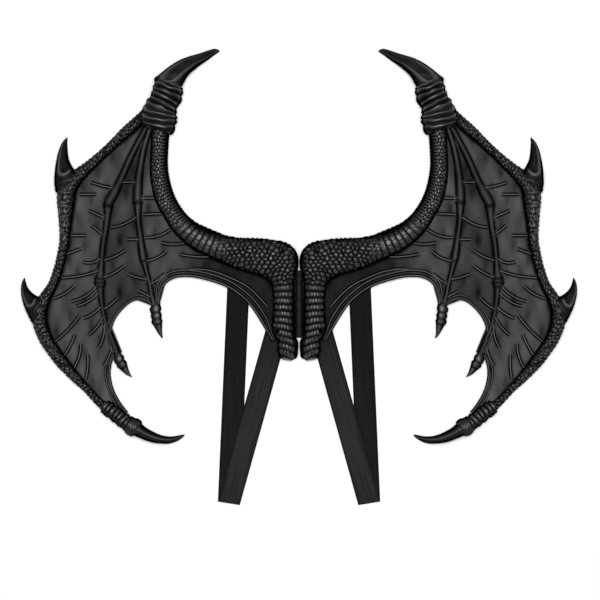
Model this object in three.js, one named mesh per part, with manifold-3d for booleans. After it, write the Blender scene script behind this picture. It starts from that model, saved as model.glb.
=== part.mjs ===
// A pair of black dragon wings to wear: two moulded foam wings joined by a soft hinge panel,
// each with an elastic shoulder strap. They lie on their flat backs with the front up.
// Millimetres: +X to the viewer's right, +Y towards the thumb claws, +Z up from the floor.
// The origin is the middle of the hinge panel's flat back.
import * as THREE from "three";
import { mergeVertices } from "three/addons/utils/BufferGeometryUtils.js";
import Module from "manifold-3d";

const wasm = await Module();
wasm.setup();

// Overall sizes, which every place in the tables is a share of
const span = 800;
const rise = 567;

// Limb sizes: the width and the height off the floor at the thickest place
const armTall = 34;
const rimWide = 26;
const rimTall = 21;
const cuffWide = 53;
const cuffTall = 31;
const thumbTall = 28;
const spurTall = 20;
const collarWide = 27;
const collarTall = 20;
const tipClawTall = 20;
const boneWide = 13.5;
const boneTall = 9;
const boneClawWide = 16.5;
const boneClawTall = 13;

// Membrane sizes: its back hangs clear of the floor, so that the strap lies under it
const strapWide = 32;
const strapThick = 1.5;
const strapRoom = 1.5;
const membraneThick = 5;
const veinWide = 3.2;
const veinTall = 1.3;
const beadWide = 4;
const beadTall = 1.6;
const beadInset = 3.6;

// Hinge panel sizes: a flat tongue glued under both bodies, and the strip that shows between them
const tongueWide = 24;
const tongueTop = 31;
const tongueFoot = -66;
const tongueThick = 2;
const hingeWide = 10.7;
const hingeTall = 24;
const hingeTop = 27;
const hingeFoot = -62;

// Fits: the gap between touching pieces, and how deep one piece is sunk in the next
const clear = 0.3;
const boneSunk = 2;
const ridgeSunk = 0.5;
const strapLap = 0.02;

// Rings pressed into the arm: their depth, and the rib where they start
const ringDeep = 0.9;
const firstRing = 12;

// How finely each curve is drawn, in steps along it, and each section, in points over it
const steps = {
  arm: 48,
  rim: 30,
  longBone: 20,
  shortBone: 16,
  thumb: 10,
  spur: 7,
  tipClaw: 9,
  innerBay: 15,
  middleBay: 10,
  tipBay: 7,
  secondBead: 8,
  limbDome: 6,
  clawDome: 6,
  boneDome: 4,
};

// The membrane meets the arm as far as this rib, where the body's lower end begins
const lastMembraneRib = 43;

const membraneBack = strapThick + strapRoom;
const membraneFront = membraneBack + membraneThick;
const boneBack = membraneFront - boneSunk;
const clawBack = membraneBack - strapRoom;

// Arm from the wrist to the elbow and down the spine: each row is a rib across the limb,
// from its outer or lower edge to its inner or upper edge.
const armRibs = [
  { out: 0.529, up: 0.426, toOut: 0.463, toUp: 0.426, tall: 0.6 },
  { out: 0.533, up: 0.359, toOut: 0.47, toUp: 0.359, tall: 0.58 },
  { out: 0.536, up: 0.32, toOut: 0.471, toUp: 0.32, tall: 0.58 },
  { out: 0.533, up: 0.282, toOut: 0.466, toUp: 0.291, tall: 0.6 },
  { out: 0.522, up: 0.242, toOut: 0.456, toUp: 0.262, tall: 0.62 },
  { out: 0.506, up: 0.213, toOut: 0.442, toUp: 0.237, tall: 0.64 },
  { out: 0.481, up: 0.184, toOut: 0.421, toUp: 0.212, tall: 0.67 },
  { out: 0.457, up: 0.157, toOut: 0.396, toUp: 0.191, tall: 0.7 },
  { out: 0.424, up: 0.133, toOut: 0.365, toUp: 0.174, tall: 0.73 },
  { out: 0.381, up: 0.109, toOut: 0.335, toUp: 0.164, tall: 0.76 },
  { out: 0.331, up: 0.091, toOut: 0.295, toUp: 0.152, tall: 0.8 },
  { out: 0.266, up: 0.071, toOut: 0.25, toUp: 0.141, tall: 0.86 },
  { out: 0.205, up: 0.053, toOut: 0.187, toUp: 0.137, tall: 0.94 },
  { out: 0.162, up: 0.046, toOut: 0.124, toUp: 0.135, tall: 1 },
  { out: 0.129, up: 0.037, toOut: 0.065, toUp: 0.129, tall: 1 },
  { out: 0.108, up: 0.027, toOut: 0.025, toUp: 0.116, tall: 1 },
  { out: 0.097, up: 0.013, toOut: 0.0045, toUp: 0.096, tall: 1 },
  { out: 0.094, up: -0.005, toOut: 0.0022, toUp: 0.061, tall: 0.98 },
  { out: 0.092, up: -0.02, toOut: 0.014, toUp: 0.038, tall: 0.96 },
  { out: 0.093, up: -0.051, toOut: 0.014, toUp: -0.041, tall: 0.92 },
  { out: 0.097, up: -0.084, toOut: 0.014, toUp: -0.086, tall: 0.87 },
  { out: 0.094, up: -0.105, toOut: 0.012, toUp: -0.112, tall: 0.82 },
  { out: 0.077, up: -0.119, toOut: 0.003, toUp: -0.124, tall: 0.76 },
  { out: 0.077, up: -0.145, toOut: 0.003, toUp: -0.151, tall: 0.68 },
  { out: 0.07, up: -0.164, toOut: 0.007, toUp: -0.166, tall: 0.5 },
  { out: 0.053, up: -0.17, toOut: 0.027, toUp: -0.173, tall: 0.25 },
];

// Leading rim from the wrist out and down to the wing's tip: points of its middle line
const rimPath = [
  { out: 0.55, up: 0.449, wide: 0.66, tall: 0.8 },
  { out: 0.586, up: 0.426, wide: 0.66, tall: 0.75 },
  { out: 0.628, up: 0.4, wide: 0.61, tall: 0.72 },
  { out: 0.669, up: 0.372, wide: 0.53, tall: 0.7 },
  { out: 0.712, up: 0.344, wide: 0.53, tall: 0.7 },
  { out: 0.755, up: 0.316, wide: 0.64, tall: 0.74 },
  { out: 0.799, up: 0.289, wide: 0.83, tall: 0.85 },
  { out: 0.829, up: 0.261, wide: 1, tall: 1 },
  { out: 0.835, up: 0.234, wide: 1, tall: 0.95 },
  { out: 0.836, up: 0.203, wide: 0.86, tall: 0.85 },
  { out: 0.838, up: 0.168, wide: 0.69, tall: 0.78 },
  { out: 0.84, up: 0.132, wide: 0.59, tall: 0.72 },
  { out: 0.851, up: 0.091, wide: 0.54, tall: 0.7 },
  { out: 0.864, up: 0.056, wide: 0.53, tall: 0.7 },
  { out: 0.882, up: 0.02, wide: 0.53, tall: 0.72 },
  { out: 0.908, up: -0.013, wide: 0.66, tall: 0.82 },
  { out: 0.928, up: -0.043, wide: 0.83, tall: 0.92 },
  { out: 0.928, up: -0.076, wide: 0.83, tall: 0.92 },
  { out: 0.912, up: -0.112, wide: 0.77, tall: 0.85 },
  { out: 0.883, up: -0.146, wide: 0.75, tall: 0.8 },
  { out: 0.847, up: -0.179, wide: 0.72, tall: 0.76 },
  { out: 0.808, up: -0.211, wide: 0.58, tall: 0.7 },
  { out: 0.763, up: -0.244, wide: 0.44, tall: 0.62 },
  { out: 0.725, up: -0.273, wide: 0.44, tall: 0.6 },
  { out: 0.683, up: -0.298, wide: 0.61, tall: 0.62 },
];

// Wrist cuff from below the wrist up to the thumb claw: wide rows are wrinkles
const cuffPath = [
  { out: 0.509, up: 0.409, wide: 0.73, tall: 0.78 },
  { out: 0.506, up: 0.416, wide: 0.92, tall: 0.9 },
  { out: 0.505, up: 0.424, wide: 0.9, tall: 0.88 },
  { out: 0.504, up: 0.433, wide: 1, tall: 1 },
  { out: 0.503, up: 0.442, wide: 0.94, tall: 0.94 },
  { out: 0.5, up: 0.452, wide: 0.98, tall: 1 },
  { out: 0.496, up: 0.462, wide: 0.87, tall: 0.92 },
  { out: 0.491, up: 0.471, wide: 0.87, tall: 0.96 },
  { out: 0.485, up: 0.48, wide: 0.77, tall: 0.88 },
  { out: 0.48, up: 0.489, wide: 0.83, tall: 0.94 },
  { out: 0.476, up: 0.496, wide: 0.86, tall: 0.95 },
  { out: 0.473, up: 0.505, wide: 0.8, tall: 0.88 },
  { out: 0.47, up: 0.513, wide: 0.83, tall: 0.93 },
  { out: 0.467, up: 0.522, wide: 0.77, tall: 0.87 },
  { out: 0.463, up: 0.529, wide: 0.76, tall: 0.8 },
];

const thumbRibs = [
  { out: 0.507, up: 0.524, toOut: 0.437, toUp: 0.509, tall: 0.86 },
  { out: 0.519, up: 0.538, toOut: 0.415, toUp: 0.527, tall: 0.95 },
  { out: 0.498, up: 0.552, toOut: 0.403, toUp: 0.542, tall: 1 },
  { out: 0.47, up: 0.568, toOut: 0.39, toUp: 0.553, tall: 0.93 },
  { out: 0.436, up: 0.584, toOut: 0.374, toUp: 0.563, tall: 0.82 },
  { out: 0.401, up: 0.595, toOut: 0.355, toUp: 0.574, tall: 0.68 },
  { out: 0.355, up: 0.605, toOut: 0.331, toUp: 0.586, tall: 0.5 },
  { out: 0.324, up: 0.613, toOut: 0.309, toUp: 0.598, tall: 0.34 },
  { out: 0.302, up: 0.617, toOut: 0.291, toUp: 0.607, tall: 0.2 },
  { out: 0.287, up: 0.614, toOut: 0.285, toUp: 0.61, tall: 0.08 },
];

const upperSpurRibs = [
  { out: 0.871, up: 0.251, toOut: 0.79, toUp: 0.284, tall: 0.92 },
  { out: 0.878, up: 0.274, toOut: 0.8, toUp: 0.302, tall: 1 },
  { out: 0.877, up: 0.304, toOut: 0.815, toUp: 0.319, tall: 0.85 },
  { out: 0.872, up: 0.332, toOut: 0.826, toUp: 0.336, tall: 0.66 },
  { out: 0.863, up: 0.36, toOut: 0.831, toUp: 0.358, tall: 0.46 },
  { out: 0.85, up: 0.381, toOut: 0.833, toUp: 0.377, tall: 0.27 },
  { out: 0.836, up: 0.392, toOut: 0.832, toUp: 0.392, tall: 0.08 },
];

const lowerSpurRibs = [
  { out: 0.955, up: -0.079, toOut: 0.908, toUp: -0.02, tall: 0.92 },
  { out: 0.971, up: -0.061, toOut: 0.927, toUp: -0.014, tall: 1 },
  { out: 0.987, up: -0.036, toOut: 0.946, toUp: -0.008, tall: 0.85 },
  { out: 0.997, up: -0.01, toOut: 0.964, toUp: 0.002, tall: 0.66 },
  { out: 0.999, up: 0.01, toOut: 0.976, toUp: 0.013, tall: 0.46 },
  { out: 0.996, up: 0.025, toOut: 0.982, toUp: 0.025, tall: 0.27 },
  { out: 0.989, up: 0.036, toOut: 0.986, toUp: 0.036, tall: 0.08 },
];

// Tip collar from the rim's end down to the tip claw: wide rows are rings
const collarPath = [
  { out: 0.7, up: -0.289, wide: 0.69, tall: 0.8 },
  { out: 0.677, up: -0.299, wide: 0.82, tall: 0.9 },
  { out: 0.665, up: -0.306, wide: 0.73, tall: 0.84 },
  { out: 0.654, up: -0.312, wide: 0.82, tall: 0.92 },
  { out: 0.643, up: -0.318, wide: 0.74, tall: 0.86 },
  { out: 0.633, up: -0.324, wide: 0.8, tall: 0.92 },
  { out: 0.62, up: -0.331, wide: 0.74, tall: 0.84 },
  { out: 0.609, up: -0.336, wide: 0.9, tall: 0.98 },
  { out: 0.599, up: -0.341, wide: 1, tall: 1 },
  { out: 0.586, up: -0.344, wide: 0.98, tall: 1 },
  { out: 0.576, up: -0.348, wide: 0.75, tall: 0.85 },
];

const tipClawRibs = [
  { out: 0.577, up: -0.327, toOut: 0.61, toUp: -0.358, tall: 0.9 },
  { out: 0.561, up: -0.337, toOut: 0.586, toUp: -0.365, tall: 1 },
  { out: 0.541, up: -0.347, toOut: 0.558, toUp: -0.374, tall: 0.92 },
  { out: 0.517, up: -0.356, toOut: 0.527, toUp: -0.381, tall: 0.82 },
  { out: 0.492, up: -0.363, toOut: 0.496, toUp: -0.384, tall: 0.7 },
  { out: 0.467, up: -0.366, toOut: 0.466, toUp: -0.384, tall: 0.56 },
  { out: 0.442, up: -0.365, toOut: 0.441, toUp: -0.379, tall: 0.4 },
  { out: 0.421, up: -0.362, toOut: 0.42, toUp: -0.37, tall: 0.22 },
  { out: 0.412, up: -0.362, toOut: 0.411, toUp: -0.364, tall: 0.07 },
];

// The two finger bones from the wrist down the membrane: wide rows are joints
const longBonePath = [
  { out: 0.549, up: 0.416, wide: 0.43, tall: 0.7 },
  { out: 0.579, up: 0.376, wide: 0.46, tall: 0.75 },
  { out: 0.608, up: 0.335, wide: 0.51, tall: 0.8 },
  { out: 0.64, up: 0.284, wide: 0.6, tall: 0.85 },
  { out: 0.667, up: 0.246, wide: 0.85, tall: 1 },
  { out: 0.682, up: 0.226, wide: 0.81, tall: 1 },
  { out: 0.687, up: 0.195, wide: 0.6, tall: 0.85 },
  { out: 0.693, up: 0.162, wide: 0.48, tall: 0.8 },
  { out: 0.7, up: 0.132, wide: 0.46, tall: 0.8 },
  { out: 0.706, up: 0.094, wide: 0.45, tall: 0.8 },
  { out: 0.71, up: 0.061, wide: 0.53, tall: 0.85 },
  { out: 0.713, up: 0.038, wide: 0.8, tall: 1 },
  { out: 0.714, up: 0.023, wide: 0.99, tall: 1.05 },
  { out: 0.713, up: 0.008, wide: 0.64, tall: 0.85 },
  { out: 0.709, up: -0.02, wide: 0.38, tall: 0.7 },
  { out: 0.703, up: -0.048, wide: 0.34, tall: 0.65 },
  { out: 0.691, up: -0.084, wide: 0.34, tall: 0.65 },
  { out: 0.674, up: -0.115, wide: 0.38, tall: 0.7 },
  { out: 0.653, up: -0.157, wide: 0.53, tall: 0.75 },
];

const shortBonePath = [
  { out: 0.534, up: 0.416, wide: 0.43, tall: 0.7 },
  { out: 0.554, up: 0.371, wide: 0.47, tall: 0.75 },
  { out: 0.567, up: 0.327, wide: 0.51, tall: 0.8 },
  { out: 0.576, up: 0.282, wide: 0.7, tall: 0.95 },
  { out: 0.579, up: 0.239, wide: 0.8, tall: 1.05 },
  { out: 0.578, up: 0.206, wide: 0.56, tall: 0.85 },
  { out: 0.576, up: 0.175, wide: 0.45, tall: 0.8 },
  { out: 0.57, up: 0.145, wide: 0.47, tall: 0.8 },
  { out: 0.565, up: 0.114, wide: 0.58, tall: 0.9 },
  { out: 0.558, up: 0.086, wide: 0.66, tall: 1 },
  { out: 0.554, up: 0.072, wide: 0.45, tall: 0.75 },
  { out: 0.547, up: 0.051, wide: 0.3, tall: 0.6 },
  { out: 0.537, up: 0.023, wide: 0.3, tall: 0.6 },
  { out: 0.529, up: -0.008, wide: 0.36, tall: 0.65 },
  { out: 0.522, up: -0.028, wide: 0.5, tall: 0.7 },
];

const longClawPath = [
  { out: 0.653, up: -0.157, wide: 0.52, tall: 0.6 },
  { out: 0.648, up: -0.166, wide: 0.92, tall: 0.9 },
  { out: 0.644, up: -0.174, wide: 0.92, tall: 0.9 },
  { out: 0.641, up: -0.177, wide: 0.78, tall: 0.8 },
  { out: 0.637, up: -0.182, wide: 0.96, tall: 1 },
  { out: 0.631, up: -0.189, wide: 0.77, tall: 0.86 },
  { out: 0.623, up: -0.198, wide: 0.56, tall: 0.68 },
  { out: 0.615, up: -0.206, wide: 0.37, tall: 0.5 },
  { out: 0.608, up: -0.211, wide: 0.2, tall: 0.3 },
  { out: 0.601, up: -0.216, wide: 0.07, tall: 0.1 },
];

const shortClawPath = [
  { out: 0.52, up: -0.03, wide: 0.52, tall: 0.6 },
  { out: 0.516, up: -0.038, wide: 0.99, tall: 0.9 },
  { out: 0.515, up: -0.048, wide: 0.96, tall: 0.9 },
  { out: 0.514, up: -0.052, wide: 0.81, tall: 0.8 },
  { out: 0.513, up: -0.057, wide: 0.96, tall: 0.9 },
  { out: 0.512, up: -0.064, wide: 0.92, tall: 0.88 },
  { out: 0.511, up: -0.068, wide: 0.83, tall: 0.8 },
  { out: 0.51, up: -0.074, wide: 0.99, tall: 1 },
  { out: 0.507, up: -0.082, wide: 0.78, tall: 0.86 },
  { out: 0.503, up: -0.093, wide: 0.56, tall: 0.68 },
  { out: 0.499, up: -0.103, wide: 0.37, tall: 0.5 },
  { out: 0.494, up: -0.112, wide: 0.2, tall: 0.3 },
  { out: 0.49, up: -0.117, wide: 0.07, tall: 0.1 },
];

// Scalloped lower edge of the membrane, one bay between each two points
const tipBay = [
  { out: 0.615, up: -0.305 },
  { out: 0.642, up: -0.28 },
  { out: 0.667, up: -0.246 },
  { out: 0.678, up: -0.211 },
  { out: 0.676, up: -0.188 },
  { out: 0.669, up: -0.168 },
];
const middleBay = [
  { out: 0.632, up: -0.165 },
  { out: 0.661, up: -0.136 },
  { out: 0.673, up: -0.099 },
  { out: 0.662, up: -0.07 },
  { out: 0.631, up: -0.041 },
  { out: 0.594, up: -0.022 },
  { out: 0.554, up: -0.022 },
  { out: 0.532, up: -0.034 },
];
const innerBay = [
  { out: 0.5, up: -0.036 },
  { out: 0.498, up: -0.008 },
  { out: 0.482, up: 0.019 },
  { out: 0.45, up: 0.035 },
  { out: 0.396, up: 0.039 },
  { out: 0.333, up: 0.031 },
  { out: 0.258, up: 0.012 },
  { out: 0.183, up: -0.028 },
  { out: 0.133, up: -0.079 },
  { out: 0.097, up: -0.124 },
];
const secondBead = [
  { out: 0.404, up: 0.056 },
  { out: 0.36, up: 0.058 },
  { out: 0.306, up: 0.052 },
  { out: 0.25, up: 0.037 },
  { out: 0.195, up: 0.018 },
  { out: 0.155, up: -0.005 },
  { out: 0.112, up: -0.038 },
];

// Raised veins of the membrane: each runs from one point to the next and bows sideways
// by a share of its own length.
const veins = [
  { out: 0.754, up: 0.28, toOut: 0.663, toUp: 0.264, bow: -0.04 },
  { out: 0.795, up: 0.247, toOut: 0.721, toUp: 0.247, bow: 0 },
  { out: 0.762, up: 0.208, toOut: 0.696, toUp: 0.187, bow: 0 },
  { out: 0.749, up: 0.171, toOut: 0.704, toUp: 0.146, bow: 0 },
  { out: 0.82, up: 0.143, toOut: 0.757, toUp: 0.143, bow: 0 },
  { out: 0.83, up: 0.097, toOut: 0.777, toUp: 0.111, bow: 0 },
  { out: 0.783, up: 0.078, toOut: 0.717, toUp: 0.085, bow: -0.16 },
  { out: 0.849, up: 0.037, toOut: 0.72, toUp: 0.055, bow: -0.05 },
  { out: 0.882, up: -0.015, toOut: 0.802, toUp: 0.019, bow: -0.08 },
  { out: 0.827, up: -0.025, toOut: 0.731, toUp: 0.013, bow: -0.1 },
  { out: 0.81, up: -0.037, toOut: 0.717, toUp: 0.002, bow: -0.1 },
  { out: 0.78, up: -0.068, toOut: 0.714, toUp: -0.039, bow: -0.07 },
  { out: 0.764, up: -0.113, toOut: 0.703, toUp: -0.06, bow: -0.08 },
  { out: 0.725, up: -0.147, toOut: 0.7, toUp: -0.076, bow: -0.1 },
  { out: 0.874, up: -0.124, toOut: 0.78, toUp: -0.053, bow: -0.04 },
  { out: 0.841, up: -0.158, toOut: 0.8, toUp: -0.101, bow: -0.04 },
  { out: 0.806, up: -0.189, toOut: 0.783, toUp: -0.125, bow: -0.08 },
  { out: 0.764, up: -0.218, toOut: 0.759, toUp: -0.152, bow: -0.04 },
  { out: 0.704, up: -0.191, toOut: 0.673, toUp: -0.142, bow: -0.05 },
  { out: 0.64, up: 0.278, toOut: 0.587, toUp: 0.278, bow: 0 },
  { out: 0.671, up: 0.165, toOut: 0.585, toUp: 0.191, bow: -0.08 },
  { out: 0.695, up: 0.082, toOut: 0.615, toUp: 0.111, bow: -0.06 },
  { out: 0.698, up: 0.039, toOut: 0.621, toUp: 0.07, bow: -0.06 },
  { out: 0.621, up: 0.133, toOut: 0.574, toUp: 0.133, bow: 0 },
  { out: 0.621, up: 0.048, toOut: 0.546, toUp: 0.033, bow: -0.05 },
  { out: 0.577, up: 0.004, toOut: 0.535, toUp: -0.012, bow: 0 },
  { out: 0.698, up: -0.041, toOut: 0.648, toUp: -0.012, bow: -0.06 },
  { out: 0.566, up: 0.237, toOut: 0.522, toUp: 0.238, bow: 0 },
  { out: 0.558, up: 0.196, toOut: 0.5, toUp: 0.198, bow: 0 },
  { out: 0.547, up: 0.139, toOut: 0.467, toUp: 0.157, bow: -0.09 },
  { out: 0.501, up: 0.126, toOut: 0.415, toUp: 0.124, bow: -0.06 },
  { out: 0.547, up: 0.08, toOut: 0.473, toUp: 0.106, bow: -0.09 },
  { out: 0.44, up: 0.097, toOut: 0.33, toUp: 0.089, bow: -0.03 },
  { out: 0.528, up: 0.023, toOut: 0.476, toUp: 0.051, bow: -0.06 },
];

// Strap from under the arm down to its fold and up again to under the body
const strapTop = { out: 0.212, up: 0.114 };
const strapFold = { out: 0.252, up: -0.5335 };
const strapEnd = { out: 0.071, up: -0.076 };

const black = { color: 0x17171a, roughness: 0.42, metalness: 0 };
const charcoal = { color: 0x2a2a2e, roughness: 0.6, metalness: 0 };
const webbing = { color: 0x1c1f1f, roughness: 0.85, metalness: 0 };

// Section outlines, as shares across a rib and up from its back: a power under 1 fills the dome out
const domeFullness = 0.8;
function dome(points, backInset, shoulder) {
  const outline = [[backInset, 0]];
  for (let i = 0; i < points; i += 1) {
    const angle = (Math.PI * i) / (points - 1);
    const lift = Math.sin(angle) ** domeFullness;
    outline.push([0.5 - 0.5 * Math.cos(angle), shoulder + (1 - shoulder) * lift]);
  }
  outline.push([1 - backInset, 0]);
  return outline;
}
const limbSection = dome(steps.limbDome, 0.1, 0.24);
const clawSection = dome(steps.clawDome, 0.22, 0.36);
const boneSection = dome(steps.boneDome, 0.04, 0.2);
const ridgeSection = [
  [0, 0],
  [0.5, 1],
  [1, 0],
];
const bandSection = [
  [0, 0],
  [0, 1],
  [1, 1],
  [1, 0],
];

// side is -1 for the viewer's left wing and 1 for the right one
function place(side, out, up) {
  return new THREE.Vector2((side * out * span) / 2, up * rise);
}

// Smooth curve through points of which z carries any third value
function smooth(points, count) {
  const curve = new THREE.CatmullRomCurve3(points, false, "centripetal");
  return Array.from({ length: count + 1 }, (_, i) => curve.getPoint(i / count));
}

// Ribs between two edges: a is one end, b is the other, tall is the height
function ribsBetween(side, table, tall, back, count) {
  const near = table.map((row) => place(side, row.out, row.up));
  const far = table.map((row) => place(side, row.toOut, row.toUp));
  const a = smooth(near.map((p, i) => new THREE.Vector3(p.x, p.y, table[i].tall * tall)), count);
  const b = smooth(far.map((p) => new THREE.Vector3(p.x, p.y, 0)), count);
  return a.map((p, i) => ({
    a: new THREE.Vector2(p.x, p.y),
    b: new THREE.Vector2(b[i].x, b[i].y),
    tall: p.z,
    back,
  }));
}

// Ribs square to a middle line
function ribsAlong(side, table, wide, tall, back, count = table.length - 1) {
  const middle = table.map((row) => place(side, row.out, row.up));
  const line = smooth(middle.map((p, i) => new THREE.Vector3(p.x, p.y, table[i].wide * wide)), count);
  const heights = smooth(table.map((row, i) => new THREE.Vector3(i, 0, row.tall * tall)), count);
  return line.map((p, i) => {
    const before = line[Math.max(i - 1, 0)];
    const after = line[Math.min(i + 1, count)];
    const across = new THREE.Vector2(before.y - after.y, after.x - before.x).normalize();
    const middlePoint = new THREE.Vector2(p.x, p.y);
    return {
      a: middlePoint.clone().addScaledVector(across, p.z / 2),
      b: middlePoint.clone().addScaledVector(across, -p.z / 2),
      tall: heights[i].z,
      back,
    };
  });
}

// The same ribs with room for the fitting gap all round
function grown(ribs, gap = clear) {
  const middle = ribs.map((rib) => rib.a.clone().add(rib.b).multiplyScalar(0.5));
  const last = ribs.length - 1;
  return ribs.map((rib, i) => {
    const across = rib.b.clone().sub(rib.a).normalize();
    const shift = new THREE.Vector2();
    if (i === 0) shift.copy(middle[0]).sub(middle[1]).setLength(gap);
    if (i === last) shift.copy(middle[last]).sub(middle[last - 1]).setLength(gap);
    return {
      a: rib.a.clone().addScaledVector(across, -gap).add(shift),
      b: rib.b.clone().addScaledVector(across, gap).add(shift),
      tall: rib.tall + 2 * gap,
      back: rib.back - gap,
    };
  });
}

// Solid from a list of points and triangles, turned so that its faces point out
function solidFrom(positions, triangles) {
  let volume = 0;
  const [p, q, r] = [new THREE.Vector3(), new THREE.Vector3(), new THREE.Vector3()];
  for (let i = 0; i < triangles.length; i += 3) {
    p.fromArray(positions, triangles[i] * 3);
    q.fromArray(positions, triangles[i + 1] * 3);
    r.fromArray(positions, triangles[i + 2] * 3);
    volume += p.dot(q.cross(r));
  }
  if (volume < 0) triangles.reverse();
  return new wasm.Manifold(
    new wasm.Mesh({
      numProp: 3,
      vertProperties: new Float32Array(positions),
      triVerts: new Uint32Array(triangles),
    }),
  );
}

// Closed skin over a row of ribs that all have the same section outline
function loft(ribs, section) {
  const positions = [];
  const triangles = [];
  const around = section.length;
  for (const rib of ribs) {
    for (const [across, height] of section) {
      const foot = rib.a.clone().lerp(rib.b, across);
      positions.push(foot.x, foot.y, rib.back + height * rib.tall);
    }
  }
  for (let i = 0; i + 1 < ribs.length; i += 1) {
    for (let k = 0; k < around; k += 1) {
      const next = (k + 1) % around;
      const here = i * around;
      const there = here + around;
      triangles.push(here + k, here + next, there + next, here + k, there + next, there + k);
    }
  }
  const end = (ribs.length - 1) * around;
  for (let k = 1; k + 1 < around; k += 1) {
    triangles.push(0, k + 1, k, end, end + k, end + k + 1);
  }
  return solidFrom(positions, triangles);
}

// Flat plate with the given outline
function plate(outline, back, thick) {
  const extruded = new THREE.ExtrudeGeometry(new THREE.Shape(outline), {
    depth: thick,
    bevelEnabled: false,
  });
  extruded.translate(0, 0, back);
  extruded.deleteAttribute("normal");
  extruded.deleteAttribute("uv");
  const merged = mergeVertices(extruded);
  return solidFrom([...merged.attributes.position.array], [...merged.index.array]);
}

// The largest of a solid's bodies: a cut between curved pieces can leave crumbs behind
function largestBody(solid) {
  const bodies = solid.decompose();
  return bodies.reduce((most, body) => (body.volume() > most.volume() ? body : most));
}

function cut(solid, ...tools) {
  return largestBody(tools.reduce((left, tool) => left.subtract(tool), solid));
}

// A limb with rings: every second rib is pressed in a little
function ringed(ribs) {
  return ribs.map((rib, i) => {
    if (i < firstRing || i % 2 === 0) return rib;
    return { ...rib, tall: rib.tall - ringDeep };
  });
}

// Points along one bay of the membrane's edge
function bayCurve(side, bay, count) {
  const points = bay.map(({ out, up }) => place(side, out, up));
  return smooth(points.map((p) => new THREE.Vector3(p.x, p.y, 0)), count);
}

// Raised ridge along a line, or beside it by the inset, with narrow low ends
const ridgeEnd = 0.5;
function ridgeAlong(line, wide, tall, inset) {
  const last = line.length - 1;
  const ribs = line.map((p, i) => {
    const before = line[Math.max(i - 1, 0)];
    const after = line[Math.min(i + 1, last)];
    const across = new THREE.Vector2(before.y - after.y, after.x - before.x).normalize();
    const middle = new THREE.Vector2(p.x, p.y).addScaledVector(across, inset);
    const taper = i === 0 || i === last ? ridgeEnd : 1;
    return {
      a: middle.clone().addScaledVector(across, (wide * taper) / 2),
      b: middle.clone().addScaledVector(across, (-wide * taper) / 2),
      tall: ridgeSunk + tall * taper,
      back: membraneFront - ridgeSunk,
    };
  });
  return loft(ribs, ridgeSection);
}

function veinRidge(side, vein) {
  const from = place(side, vein.out, vein.up);
  const to = place(side, vein.toOut, vein.toUp);
  const run = to.clone().sub(from);
  const sideways = new THREE.Vector2(-run.y, run.x).multiplyScalar(-side * vein.bow);
  const middle = from.clone().add(to).multiplyScalar(0.5).add(sideways);
  return ridgeAlong([from, middle, to], veinWide, veinTall, 0);
}

// Membrane: a padded web whose edges run under the middle of the limbs round it, until
// those limbs are cut out of it
function membraneOf(side, armLine, rimLine, limbs) {
  const inner = bayCurve(side, innerBay, steps.innerBay);
  const middle = bayCurve(side, middleBay, steps.middleBay);
  const tip = bayCurve(side, tipBay, steps.tipBay);
  const outline = [
    ...armLine,
    ...inner.slice().reverse(),
    ...middle.slice().reverse(),
    ...tip.slice().reverse(),
    ...rimLine.slice().reverse(),
  ].map((p) => new THREE.Vector2(p.x, p.y));
  const inset = -side * beadInset;
  const ridges = [
    ...[inner, middle, tip].map((line) => ridgeAlong(line, beadWide, beadTall, inset)),
    ridgeAlong(bayCurve(side, secondBead, steps.secondBead), beadWide, beadTall, 0),
    ...veins.map((vein) => veinRidge(side, vein)),
  ];
  const web = plate(outline, membraneBack, membraneThick);
  const raised = ridges.reduce((whole, ridge) => whole.add(ridge), web);
  return cut(raised, ...limbs);
}

// Strap: one run lies on the floor, the other leaves it between two shares of its length
// and lies on the first run at the fold, where a blunt nose joins them.
const leavesFloor = 0.22;
const reachesTop = 0.44;
const noseLong = strapThick * 0.8;
function strapOf(side, gap = 0) {
  const top = place(side, strapTop.out, strapTop.up);
  const fold = place(side, strapFold.out, strapFold.up);
  const end = place(side, strapEnd.out, strapEnd.up);
  const lower = fold.clone().sub(top).normalize();
  const upper = fold.clone().sub(end).normalize();
  const outward = lower.clone().add(upper).normalize();
  const crease = new THREE.Vector2(-outward.y, outward.x);
  const acrossLower = new THREE.Vector2(-lower.y, lower.x);
  const creaseHalf = strapWide / 2 / Math.abs(crease.dot(acrossLower));
  const raisedBack = strapThick - strapLap;
  const ribAt = (middle, across, half, back, tall = strapThick) => ({
    a: middle.clone().addScaledVector(across, half + gap),
    b: middle.clone().addScaledVector(across, -half - gap),
    tall: tall + 2 * gap,
    back: back - gap,
  });
  const run = (start, heading, lifts) => {
    const across = new THREE.Vector2(-heading.y, heading.x);
    const ribs = lifts.map(([share, back]) => {
      if (share === 1) return ribAt(fold, crease, creaseHalf, back);
      const middle = start.clone().lerp(fold, share);
      if (share === 0) middle.addScaledVector(heading, -gap);
      return ribAt(middle, across, strapWide / 2, back);
    });
    return loft(ribs, bandSection);
  };
  const floorRun = run(top, lower, [[0, 0], [1, 0]]);
  const raisedRun = run(end, upper, [
    [0, 0],
    [leavesFloor, 0],
    [reachesTop, raisedBack],
    [1, raisedBack],
  ]);
  const noseEnd = fold.clone().addScaledVector(outward, noseLong);
  const nose = loft(
    [
      ribAt(fold, crease, creaseHalf, 0, strapThick + raisedBack),
      ribAt(noseEnd, crease, creaseHalf, strapThick / 2),
    ],
    bandSection,
  );
  return floorRun.add(raisedRun).add(nose);
}

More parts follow.
